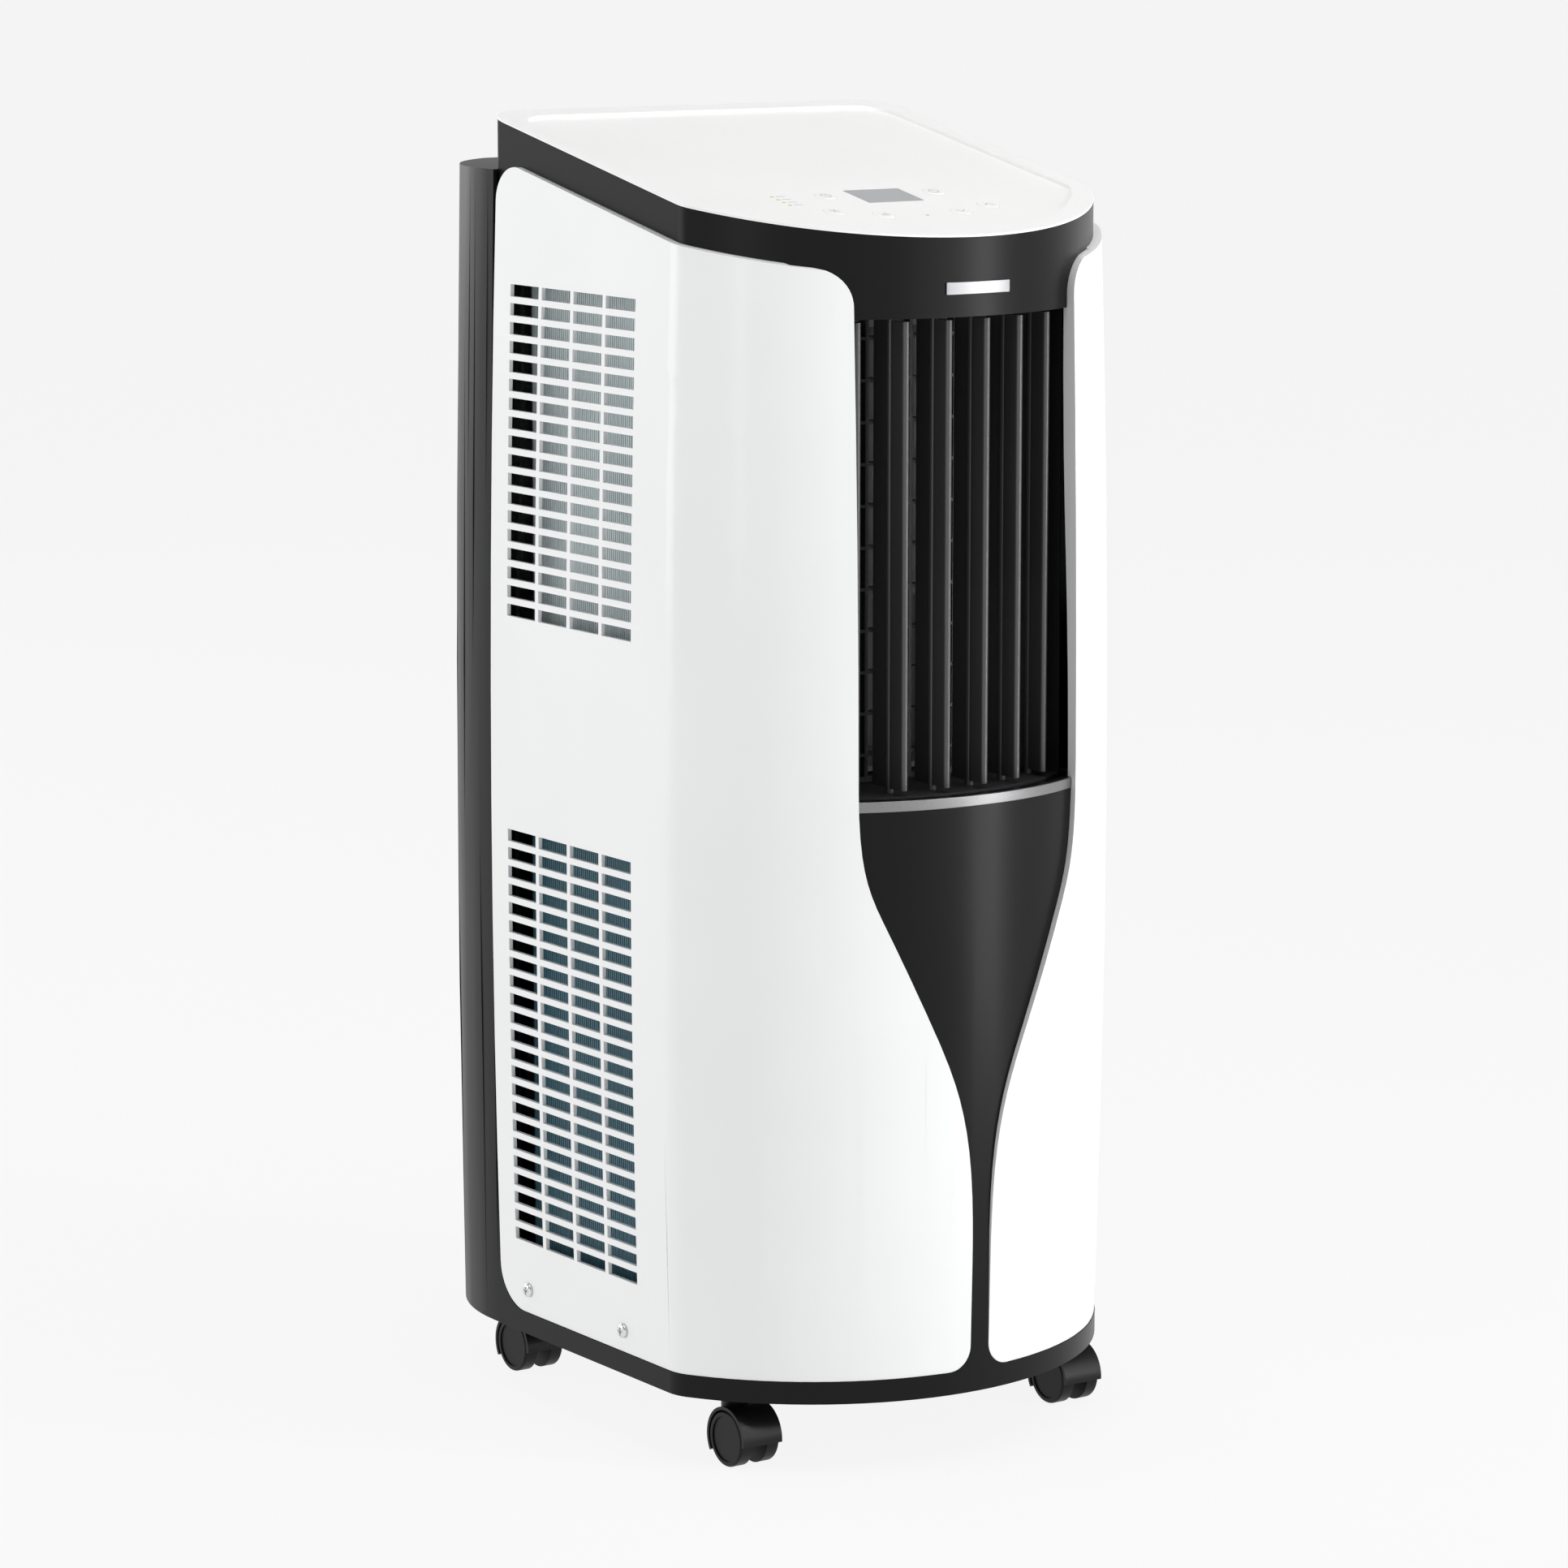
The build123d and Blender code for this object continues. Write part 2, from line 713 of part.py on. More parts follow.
def lower_outline(grow, y):
    """Round scroll below, drawn up into the round exhaust."""
    with BuildSketch(Plane.XZ.offset(-y)) as outline:
        with Locations((0, lower_fan_z)):
            Circle(86 + grow)
        with Locations((0, exhaust_z)):
            Circle(74 + grow)
        with Locations((0, (lower_fan_z + exhaust_z) / 2)):
            Trapezoid(2 * (86 + grow), exhaust_z - lower_fan_z, 84.3)
    return outline.sketch


def drum(radius, middle_z, low_y, high_y):
    """Plain cylinder along Y, kept out of whatever is being built."""
    with BuildSketch(Plane.XZ.offset(-high_y)) as end:
        with Locations((0, middle_z)):
            Circle(radius)
    return slab(end.sketch, high_y - low_y)


def make_wheel(middle_z, radius, low_y, high_y, plate_in_front, motor_y):
    """Squirrel cage: plate, blades, end ring and hub, with a shaft into the motor."""
    plate_y, ring_y, hub_y = high_y - wheel_plate, low_y, high_y - wheel_hub
    if plate_in_front:
        plate_y, ring_y, hub_y = low_y, high_y - wheel_plate, low_y
    shaft_ends = sorted((hub_y + wheel_hub / 2, motor_y))
    with BuildPart() as wheel:
        add(drum(radius, middle_z, plate_y, plate_y + wheel_plate))
        end_ring = drum(radius, middle_z, ring_y, ring_y + wheel_plate)
        add(end_ring - drum(radius - 12, middle_z, ring_y, ring_y + wheel_plate))
        with BuildSketch(Plane.XZ.offset(-high_y)):
            with Locations((0, middle_z)):
                with PolarLocations(radius - 6.5, blade_count):
                    Rectangle(11, 1.2, rotation=35)
        extrude(amount=high_y - low_y)
        add(drum(14, middle_z, hub_y, hub_y + wheel_hub))
        add(drum(shaft_radius, middle_z, *shaft_ends))
    return wheel.part


def make_motor(middle_z, low_y, high_y):
    with BuildPart() as motor:
        add(drum(motor_radius, middle_z, low_y, high_y))
        fillet(motor.edges().filter_by(GeomType.CIRCLE), 4)
        add(drum(shaft_radius + running_gap, middle_z, low_y - 1, high_y + 1), mode=Mode.SUBTRACT)
    return motor.part


with BuildPart() as throat:
    with BuildSketch(Plane.XZ.offset(118)):
        with Locations((0, 526)):
            Rectangle(148, 254)
    extrude(amount=-6)

with BuildPart() as upper_volute:
    inlet = drum(60, upper_fan_z, -60, -45)
    add(make_volute(upper_outline, [throat.part, inlet], -117, -50, -46.2, upper_fan_z))
save(upper_volute, "upper_volute")

with BuildPart() as upper_blower_wheel:
    add(make_wheel(upper_fan_z, 80, -110, -56, True, -4))
save(upper_blower_wheel, "upper_blower_wheel")

with BuildPart() as upper_fan_motor:
    add(make_motor(upper_fan_z, -46, 4))
save(upper_fan_motor, "upper_fan_motor")

with BuildPart() as lower_volute:
    inlet = drum(48, lower_fan_z, 86, 91)
    outlet = drum(exhaust_radius, exhaust_z, 150, 170)
    add(make_volute(lower_outline, [inlet, outlet], 88, 160, 88, lower_fan_z))
save(lower_volute, "lower_volute")

with BuildPart() as lower_blower_wheel:
    add(make_wheel(lower_fan_z, 64, 94, 148, False, 42))
save(lower_blower_wheel, "lower_blower_wheel")

with BuildPart() as lower_fan_motor:
    add(make_motor(lower_fan_z, 40, 84))
save(lower_fan_motor, "lower_fan_motor")

with BuildPart() as exhaust_collar:
    add(drum(exhaust_radius + 4.5, exhaust_z, 160.2, rear_y + 1.0))
    add(drum(exhaust_radius + 12, exhaust_z, rear_wall_y - 3.4, rear_wall_y - 0.6))
    add(drum(exhaust_radius, exhaust_z, 150, rear_y + 10), mode=Mode.SUBTRACT)
save(exhaust_collar, "exhaust_collar")


# ---------------------------------------------------------------- cooling circuit

coil_thickness = 22.0
tube_radius = 3.6
bend_radius = 11.0


def coil_face(outer_x, end_y, bend_y, level):
    """Plan of a three-sided coil: two wings joined by a cross leg at bend_y."""
    toward = 1 if bend_y > end_y else -1
    with BuildSketch(Plane.XY.offset(level)) as plan:
        middle = (end_y + bend_y) / 2
        length = abs(bend_y - end_y)
        with Locations((0, middle)):
            Rectangle(2 * outer_x, length)
        far = plan.vertices().sort_by(Axis.Y)
        fillet(far[-2:] if toward > 0 else far[:2], 30)
        with BuildSketch(Plane.XY.offset(level), mode=Mode.PRIVATE) as inside:
            with Locations((0, middle - toward * coil_thickness)):
                Rectangle(2 * (outer_x - coil_thickness), length)
            far = inside.vertices().sort_by(Axis.Y)
            fillet(far[-2:] if toward > 0 else far[:2], 8)
        add(inside.sketch, mode=Mode.SUBTRACT)
    return plan.sketch


def make_bends(outer_x, end_y, away, low, high, count):
    """Return bends that join the tube rows at the free ends of both wings."""
    pitch = (high - low) / count
    with BuildPart() as bends:
        for side in (-1, 1):
            x = side * (outer_x - coil_thickness / 2)
            for row in range(count):
                z = low + pitch * (row + 0.5)
                start = (x, end_y + away * 0.05, z - bend_radius)
                with BuildLine() as bend:
                    ThreePointArc(
                        start,
                        (x, end_y + away * (bend_radius + 0.05), z),
                        (x, end_y + away * 0.05, z + bend_radius),
                    )
                with BuildSketch(Plane(origin=start, x_dir=(1, 0, 0), z_dir=(0, away, 0))):
                    Circle(tube_radius)
                sweep(path=bend.line)
    return bends.part


evaporator = {"x": 130.0, "end": -74.0, "bend": 166.0, "low": 465.0, "high": 686.0}
condenser = {"x": 136.0, "end": 70.0, "bend": -92.0, "low": 62.0, "high": 357.0}

with BuildPart() as evaporator_coil:
    add(slab(coil_face(evaporator["x"], evaporator["end"], evaporator["bend"], evaporator["low"]),
             evaporator["high"] - evaporator["low"]))
save(evaporator_coil, "evaporator_coil")

with BuildPart() as evaporator_bends:
    add(make_bends(evaporator["x"], evaporator["end"], -1, evaporator["low"], evaporator["high"], 7))
save(evaporator_bends, "evaporator_bends")

with BuildPart() as condenser_coil:
    add(slab(coil_face(condenser["x"], condenser["end"], condenser["bend"], condenser["low"]),
             condenser["high"] - condenser["low"]))
save(condenser_coil, "condenser_coil")

with BuildPart() as condenser_bends:
    add(make_bends(condenser["x"], condenser["end"], 1, condenser["low"], condenser["high"], 9))
save(condenser_bends, "condenser_bends")

compressor_y = -10.0
compressor_foot_z = 58.0
compressor_top_z = 250.0

with BuildPart() as compressor_grommets:
    with BuildSketch(Plane.XY.offset(floor_z)):
        with Locations(foot_points):
            Circle(8.5)
            Circle(3.0, mode=Mode.SUBTRACT)
    extrude(amount=compressor_foot_z - floor_z)
save(compressor_grommets, "compressor_grommets")

with BuildPart() as compressor:
    with BuildSketch(Plane.XY.offset(compressor_foot_z)):
        make_hull([Pos(*point) * Circle(10, mode=Mode.PRIVATE).edge() for point in foot_points])
        with Locations(foot_points):
            Circle(3.5, mode=Mode.SUBTRACT)
    extrude(amount=3)
    with BuildSketch(Plane.XY.offset(compressor_foot_z)):
        with Locations((0, compressor_y)):
            Circle(50)
    extrude(amount=compressor_top_z - compressor_foot_z)
    fillet(compressor.edges().filter_by(GeomType.CIRCLE).sort_by(Axis.Z)[-1], 18)
    with BuildSketch(Plane.XY.offset(compressor_top_z - 1)):
        with Locations((0, compressor_y - 14)):
            RectangleRounded(34, 24, 4)
    extrude(amount=12)
save(compressor, "compressor")

accumulator_point = (-84.0, 22.0)
with BuildPart() as accumulator:
    with BuildSketch(Plane.XY.offset(100)):
        with Locations(accumulator_point):
            Circle(18)
    extrude(amount=110)
    fillet(accumulator.edges().filter_by(GeomType.CIRCLE), 8)
save(accumulator, "accumulator")

pipe_radius = 4.7


def make_pipe(points, bend):
    with BuildPart() as pipe:
        with BuildLine() as route:
            FilletPolyline(*points, radius=bend)
        with BuildSketch(Plane(origin=points[0], x_dir=(1, 0, 0), z_dir=(0, 0, 1))):
            Circle(pipe_radius)
        sweep(path=route.line)
    return pipe.part


suction_x, suction_y = accumulator_point
discharge_y = compressor_y + 18
with BuildPart() as refrigerant_pipes:
    add(make_pipe([
        (suction_x, suction_y, 210.1), (suction_x, suction_y, 500),
        (-evaporator["x"] + coil_thickness + 0.2, suction_y, 500),
    ], 14))
    add(make_pipe([
        (18, discharge_y, compressor_top_z + 0.1), (18, discharge_y, 310),
        (condenser["x"] - coil_thickness - 0.2, discharge_y, 310),
    ], 20))
save(refrigerant_pipes, "refrigerant_pipes")

tray_z = 362.0
tray_floor = 2.5
tray_rim = 16.0
tray_inset = 9.0
with BuildPart() as drip_tray:
    add(slab(body_face(-tray_inset, tray_z), tray_rim))
    add(slab(body_face(-tray_inset - shell_wall, tray_z + tray_floor), tray_rim),
        mode=Mode.SUBTRACT)
    with BuildSketch(Plane.XY.offset(tray_z - 1)):
        with Locations(accumulator_point):
            Circle(9)
    extrude(amount=20, mode=Mode.SUBTRACT)
save(drip_tray, "drip_tray")


# ---------------------------------------------------------------- electrics

with BuildPart() as control_box:
    with Locations((0, -124, 170)):
        Box(112, 42, 190)
    fillet(control_box.edges().filter_by(Axis.Z), 3)
save(control_box, "control_box")

with BuildPart() as run_capacitor:
    with BuildSketch(Plane.XY.offset(floor_z + 0.05)):
        with Locations((86, -118)):
            Circle(19)
    extrude(amount=76)
    fillet(run_capacitor.edges().filter_by(GeomType.CIRCLE), 1.5)
save(run_capacitor, "run_capacitor")


# ---------------------------------------------------------------- rear fittings

filter_low = 482.0
filter_high = ledge_z + 9
with BuildPart() as filter_frame:
    with BuildSketch(Plane.XZ.offset(-filter_y - filter_thickness / 2)):
        with Locations((0, (filter_low + ledge_z - 12) / 2)):
            Rectangle(2 * filter_half - 0.6, ledge_z - 12 - filter_low)
            Rectangle(2 * filter_half - 18, ledge_z - 30 - filter_low, mode=Mode.SUBTRACT)
            with GridLocations(50, 0, 2, 1):
                Rectangle(3, ledge_z - 20 - filter_low)
        with Locations((0, ledge_z - 2)):
            Rectangle(60, 22)
    extrude(amount=filter_thickness)
save(filter_frame, "filter_frame")

with BuildPart() as filter_mesh:
    with BuildSketch(Plane.XZ.offset(-filter_y - 0.4)):
        with Locations((0, (filter_low + ledge_z - 12) / 2)):
            with GridLocations(50.8, 0, 3, 1):
                Rectangle(46.6, ledge_z - 30.6 - filter_low)
    extrude(amount=0.8)
save(filter_mesh, "filter_mesh")

with BuildPart() as drain_plug:
    with BuildSketch(Plane.XZ.offset(-rear_y - 1.5)):
        with Locations(drain_point):
            Circle(drain_radius)
    extrude(amount=9)
    with BuildSketch(Plane.XZ.offset(-rear_y - 1.5)):
        with Locations(drain_point):
            Circle(drain_radius + 3)
    extrude(amount=1.2)
save(drain_plug, "drain_plug")

with BuildPart() as cord_gland:
    with BuildSketch(Plane.XZ.offset(-rear_y - 1.5)):
        with Locations(gland_point):
            Circle(gland_radius)
            Circle(3.6, mode=Mode.SUBTRACT)
    extrude(amount=12)
    with BuildSketch(Plane.XZ.offset(-rear_y - 1.5)):
        with Locations(gland_point):
            Circle(gland_radius + 3)
            Circle(3.6, mode=Mode.SUBTRACT)
    extrude(amount=1.2)
save(cord_gland, "cord_gland")

screw_x = half_width - 0.05
with BuildPart() as panel_screws:
    for side in (-1, 1):
        with BuildSketch(Plane.YZ.offset(side * (screw_x + 0.2))):
            with Locations(panel_screw_points):
                Circle(4.2)
        extrude(amount=side * 2.2)
        fillet(panel_screws.edges().filter_by(GeomType.CIRCLE).group_by(Axis.X)[-1 if side > 0 else 0],
               1.2)
        with BuildSketch(Plane.YZ.offset(side * (screw_x + 0.2))):
            with Locations(panel_screw_points):
                Circle(1.45)
        extrude(amount=-side * 12)
save(panel_screws, "panel_screws")


# ---------------------------------------------------------------- casters

hood_inner = wheel_radius + 0.8
hood_outer = hood_inner + 1.9
hood_half = wheel_inner + wheel_width
web_half = wheel_inner - 0.6
axle_radius = 2.0
lower_stem_radius = 3.0
collar_top = skirt_z - 0.8

with BuildPart() as caster_stems:
    with BuildSketch(Plane.XY.offset(collar_top + 0.3)):
        with Locations(stem_points):
            Circle(stem_radius)
    extrude(amount=16)
    with BuildSketch(Plane.XY.offset(24)):
        with Locations(stem_points):
            Circle(lower_stem_radius)
    extrude(amount=20)
save(caster_stems, "caster_stems")


def sector(radius, x_level, middle_y, start, end):
    """Pie slice seen along X, from start to end degrees above the rearward direction."""
    reach = radius * 1.6
    steps = [start + (end - start) * k / 6 for k in range(7)]
    rim = [(middle_y + reach * math.cos(math.radians(a)),
            wheel_radius + reach * math.sin(math.radians(a))) for a in steps]
    with BuildSketch(Plane.YZ.offset(x_level)) as slice_face:
        with BuildLine():
            Polyline((middle_y, wheel_radius), *rim, close=True)
        make_face()
        with Locations((middle_y, wheel_radius)):
            Circle(radius, mode=Mode.INTERSECT)
    return slice_face.sketch


def make_hood(x, y):
    """Hood over the twin wheels, the web between them and the swivel collar."""
    axle_y = y - caster_trail
    with BuildPart() as hood:
        add(slab(sector(hood_outer, x - hood_half, axle_y, -32, 184), 2 * hood_half))
        with BuildSketch(Plane.YZ.offset(x - hood_half - 1)):
            with Locations((axle_y, wheel_radius)):
                Circle(hood_inner)
        extrude(amount=2 * hood_half + 2, mode=Mode.SUBTRACT)
        add(slab(sector(hood_inner + 0.5, x - web_half, axle_y, -32, 150), 2 * web_half))
        with BuildSketch(Plane.YZ.offset(x - web_half)):
            with Locations((axle_y, wheel_radius)):
                Circle(5.5)
        extrude(amount=2 * web_half)
        with BuildSketch(Plane.XY.offset(wheel_radius + 15)):
            with Locations((x, y)):
                Circle(8)
        extrude(amount=collar_top - wheel_radius - 15)
        with BuildSketch(Plane.YZ.offset(x)):
            with Locations((axle_y, wheel_radius)):
                Circle(axle_radius + running_gap)
        extrude(amount=20, both=True, mode=Mode.SUBTRACT)
        with BuildSketch(Plane.XY.offset(23)):
            with Locations((x, y)):
                Circle(lower_stem_radius + running_gap)
        extrude(amount=30, mode=Mode.SUBTRACT)
        add(drum_x(wheel_radius + 0.75, x, axle_y, web_half, hood_half + 1), mode=Mode.SUBTRACT)
        add(drum_x(wheel_radius + 0.75, x, axle_y, -hood_half - 1, -web_half), mode=Mode.SUBTRACT)
    return hood.part


def drum_x(radius, x, y, low, high):
    """Cylinder along X at the axle height, from x + low to x + high."""
    with BuildSketch(Plane.YZ.offset(x + low)) as end:
        with Locations((y, wheel_radius)):
            Circle(radius)
    return slab(end.sketch, high - low)


def make_wheels(x, y):
    """Twin wheels with dished outer faces, pressed on one axle."""
    axle_y = y - caster_trail
    with BuildPart() as wheels:
        for side in (-1, 1):
            low, high = sorted((side * wheel_inner, side * (wheel_inner + wheel_width)))
            add(drum_x(wheel_radius, x, axle_y, low, high))
        rims = wheels.edges().filter_by(GeomType.CIRCLE).group_by(Axis.X)
        fillet(rims[0] + rims[-1], 1.4)
        for side in (-1, 1):
            outer = side * (wheel_inner + wheel_width)
            low, high = sorted((outer - side * 0.8, outer + side))
            add(drum_x(wheel_radius - 3, x, axle_y, low, high), mode=Mode.SUBTRACT)
        add(drum_x(axle_radius, x, axle_y, -wheel_inner - 1, wheel_inner + 1))
    return wheels.part


for end in ("front", "rear"):
    for side, side_name in ((-1, "left"), (1, "right")):
        x = side * caster_x[end]
        y = caster_y[end]
        with BuildPart() as caster_hood:
            add(make_hood(x, y))
        save(caster_hood, f"{end}_{side_name}_caster_hood")
        with BuildPart() as caster_wheels:
            add(make_wheels(x, y))
        save(caster_wheels, f"{end}_{side_name}_caster_wheels")
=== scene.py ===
import json
import math
from types import SimpleNamespace

import bmesh
import bpy
from mathutils import Matrix, Vector


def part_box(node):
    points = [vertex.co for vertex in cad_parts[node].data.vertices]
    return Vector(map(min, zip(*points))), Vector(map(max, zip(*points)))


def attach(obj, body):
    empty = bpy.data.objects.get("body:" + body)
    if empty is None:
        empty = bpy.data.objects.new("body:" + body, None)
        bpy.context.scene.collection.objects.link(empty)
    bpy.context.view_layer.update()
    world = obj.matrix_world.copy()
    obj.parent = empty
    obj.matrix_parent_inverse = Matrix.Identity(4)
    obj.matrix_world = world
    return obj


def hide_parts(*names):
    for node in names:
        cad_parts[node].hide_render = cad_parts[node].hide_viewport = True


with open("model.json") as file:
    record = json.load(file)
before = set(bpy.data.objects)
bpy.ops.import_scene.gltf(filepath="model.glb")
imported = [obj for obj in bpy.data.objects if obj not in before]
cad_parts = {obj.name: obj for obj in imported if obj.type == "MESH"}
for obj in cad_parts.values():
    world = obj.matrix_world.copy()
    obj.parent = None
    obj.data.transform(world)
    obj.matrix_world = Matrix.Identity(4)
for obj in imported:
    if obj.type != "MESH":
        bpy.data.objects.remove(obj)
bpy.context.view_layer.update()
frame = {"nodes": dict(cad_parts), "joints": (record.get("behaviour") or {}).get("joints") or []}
nodes = frame["nodes"]


# ---------------------------------------------------------------- node graph helpers

def new_material(name, colour, roughness, metallic=0.0, coat=0.0, specular=0.5):
    """A Principled material with its plain values set on the shader."""
    material = bpy.data.materials.new(name)
    material.use_nodes = True
    shader = material.node_tree.nodes["Principled BSDF"]
    shader.inputs["Base Color"].default_value = (*colour, 1)
    shader.inputs["Roughness"].default_value = roughness
    shader.inputs["Metallic"].default_value = metallic
    shader.inputs["Coat Weight"].default_value = coat
    shader.inputs["Coat Roughness"].default_value = 0.12
    shader.inputs["Specular IOR Level"].default_value = specular
    return material, material.node_tree, shader


def object_coords(tree, scale=(1, 1, 1)):
    """Coordinates in metres in the object's own frame, stretched by scale."""
    coords = tree.nodes.new("ShaderNodeTexCoord")
    mapping = tree.nodes.new("ShaderNodeMapping")
    mapping.inputs["Scale"].default_value = scale
    tree.links.new(coords.outputs["Object"], mapping.inputs["Vector"])
    return mapping.outputs["Vector"]


def noise(tree, vector, scale, detail=3.0, roughness=0.55):
    node = tree.nodes.new("ShaderNodeTexNoise")
    node.inputs["Scale"].default_value = scale
    node.inputs["Detail"].default_value = detail
    node.inputs["Roughness"].default_value = roughness
    tree.links.new(vector, node.inputs["Vector"])
    return node.outputs["Fac"]


def spread(tree, value, low, high):
    """Maps a 0 to 1 value on to low to high."""
    node = tree.nodes.new("ShaderNodeMapRange")
    node.inputs["To Min"].default_value = low
    node.inputs["To Max"].default_value = high
    tree.links.new(value, node.inputs["Value"])
    return node.outputs["Result"]


def tint(tree, value, dark, light):
    """Mixes two colours by a value."""
    ramp = tree.nodes.new("ShaderNodeValToRGB")
    ramp.color_ramp.elements[0].position = 0.3
    ramp.color_ramp.elements[0].color = (*dark, 1)
    ramp.color_ramp.elements[1].position = 0.7
    ramp.color_ramp.elements[1].color = (*light, 1)
    tree.links.new(value, ramp.inputs["Fac"])
    return ramp.outputs["Color"]


def bump(tree, shader, height, strength, distance):
    node = tree.nodes.new("ShaderNodeBump")
    node.inputs["Strength"].default_value = strength
    node.inputs["Distance"].default_value = distance
    tree.links.new(height, node.inputs["Height"])
    tree.links.new(node.outputs["Normal"], shader.inputs["Normal"])


def moulded(name, colour, roughness, grain=1400.0, relief=0.00006, coat=0.0, shift=0.06, specular=0.5):
    """Moulded plastic: fine spark texture, slow waviness of gloss, faint colour drift."""
    material, tree, shader = new_material(name, colour, roughness, coat=coat, specular=specular)
    place = object_coords(tree)
    slow = noise(tree, place, 9.0, 2.0)
    fine = noise(tree, place, grain, 2.0)
    dark = tuple(c * (1 - shift) for c in colour)
    light = tuple(min(1.0, c * (1 + shift)) for c in colour)
    tree.links.new(tint(tree, slow, dark, light), shader.inputs["Base Color"])
    tree.links.new(spread(tree, slow, roughness - 0.03, roughness + 0.03), shader.inputs["Roughness"])
    bump(tree, shader, fine, 0.35, relief)
    return material


def metal(name, colour, roughness, stretch=(1, 1, 1), grain=600.0, relief=0.00003):
    """Metal with fine rolling or drawing lines along the unstretched axis."""
    material, tree, shader = new_material(name, colour, roughness, metallic=1.0)
    lines = noise(tree, object_coords(tree, stretch), grain, 4.0)
    dark = tuple(c * 0.88 for c in colour)
    tree.links.new(tint(tree, lines, dark, colour), shader.inputs["Base Color"])
    tree.links.new(spread(tree, lines, roughness - 0.06, roughness + 0.1), shader.inputs["Roughness"])
    bump(tree, shader, lines, 0.3, relief)
    return material


# ---------------------------------------------------------------- materials

white_panel = moulded("white_panel", (0.86, 0.865, 0.87), 0.30, 900.0, 0.00002, coat=0.25, shift=0.012)
white_lid = moulded("white_lid", (0.90, 0.90, 0.895), 0.38, 1600.0, 0.00003, shift=0.01)
white_key = moulded("white_key", (0.88, 0.88, 0.875), 0.42, 2400.0, 0.00002, shift=0.015)
charcoal = moulded("charcoal_housing", (0.004, 0.004, 0.0043), 0.32, 1500.0, 0.00004, specular=0.17)
charcoal_shell = moulded("charcoal_shell", (0.005, 0.005, 0.0053), 0.38, 1100.0, 0.00007, specular=0.18)
charcoal_base = moulded("charcoal_base", (0.007, 0.007, 0.0075), 0.42, 1100.0, 0.00007, specular=0.26)
black_grid = moulded("black_grid", (0.016, 0.016, 0.017), 0.5, 1200.0, 0.00006)
black_blade = moulded("black_blade", (0.042, 0.042, 0.044), 0.34, 1700.0, 0.00003, specular=0.8)
black_fan = moulded("black_fan", (0.03, 0.03, 0.031), 0.5, 900.0, 0.00006)
grey_duct = moulded("grey_duct", (0.20, 0.21, 0.215), 0.55, 800.0, 0.00008)
acetal = moulded("natural_acetal", (0.50, 0.50, 0.49), 0.45, 1500.0, 0.00003)
black_nylon = moulded("black_nylon", (0.006, 0.006, 0.0064), 0.34, 1800.0, 0.00004, specular=0.22)
wheel_nylon = moulded("wheel_nylon", (0.005, 0.005, 0.0053), 0.40, 1300.0, 0.00005, specular=0.18)
rubber = moulded("black_rubber", (0.022, 0.022, 0.022), 0.75, 700.0, 0.00012)
enamel = moulded("black_enamel", (0.022, 0.022, 0.023), 0.25, 260.0, 0.00008, coat=0.3)
collar_black = moulded("collar_black", (0.026, 0.026, 0.027), 0.42, 1200.0, 0.00005)
silver_paint = metal("silver_paint", (0.27, 0.27, 0.275), 0.38, (0.3, 0.3, 1), 1800.0, 0.00001)
brushed_foil = metal("brushed_foil", (0.36, 0.36, 0.37), 0.38, (0.04, 1, 1), 5200.0, 0.00002)
bright_screw = metal("bright_screw", (0.78, 0.78, 0.79), 0.24, (1, 1, 1), 1500.0, 0.00001)
zinc_steel = metal("zinc_steel", (0.58, 0.59, 0.60), 0.40, (1, 1, 1), 120.0, 0.00003)
motor_can = metal("motor_can", (0.44, 0.45, 0.46), 0.36, (1, 0.1, 1), 420.0, 0.00004)
drawn_can = metal("drawn_can", (0.76, 0.76, 0.77), 0.28, (1, 1, 0.05), 900.0, 0.00003)
copper = metal("drawn_copper", (0.70, 0.36, 0.22), 0.30, (1, 1, 1), 240.0, 0.00003)
# Painted light and shade on one fin stock: the evaporator fins are made pale as if lit, and the condenser
# fins are made dark teal as painted shade.
fin_pale_painted_lit = moulded("pale_fin_painted_lit", (0.74, 0.82, 0.83), 0.40, 700.0, 0.00002, shift=0.10, specular=0.8)
fin_teal_painted_shade = moulded("teal_fin_painted_shade", (0.10, 0.23, 0.29), 0.40, 700.0, 0.00002, shift=0.10, specular=0.8)


def make_display():
    """Pale grey window with faint upright lines behind it."""
    material, tree, shader = new_material("display_window", (0.52, 0.53, 0.54), 0.16, coat=0.6)
    place = object_coords(tree)
    rows = tree.nodes.new("ShaderNodeTexWave")
    rows.bands_direction = "X"
    rows.inputs["Scale"].default_value = 260.0
    tree.links.new(place, rows.inputs["Vector"])
    colour = tint(tree, rows.outputs["Fac"], (0.50, 0.51, 0.52), (0.53, 0.54, 0.55))
    tree.links.new(colour, shader.inputs["Base Color"])
    tree.links.new(spread(tree, noise(tree, place, 60.0), 0.12, 0.2), shader.inputs["Roughness"])
    return material


def make_lens(name, colour, glow):
    """Translucent lamp lens, a little brighter in its grain."""
    material, tree, shader = new_material(name, colour, 0.2, coat=0.4)
    grain = noise(tree, object_coords(tree), 2500.0)
    dark = tuple(c * 0.85 for c in colour)
    tree.links.new(tint(tree, grain, dark, colour), shader.inputs["Base Color"])
    shader.inputs["Emission Color"].default_value = (*colour, 1)
    shader.inputs["Emission Strength"].default_value = glow
    return material


def make_print(name, colour):
    """Pad-printed ink with a slightly broken film."""
    material, tree, shader = new_material(name, colour, 0.5)
    grain = noise(tree, object_coords(tree), 3200.0)
    light = tuple(min(1.0, c * 1.12) for c in colour)
    tree.links.new(tint(tree, grain, colour, light), shader.inputs["Base Color"])
    return material


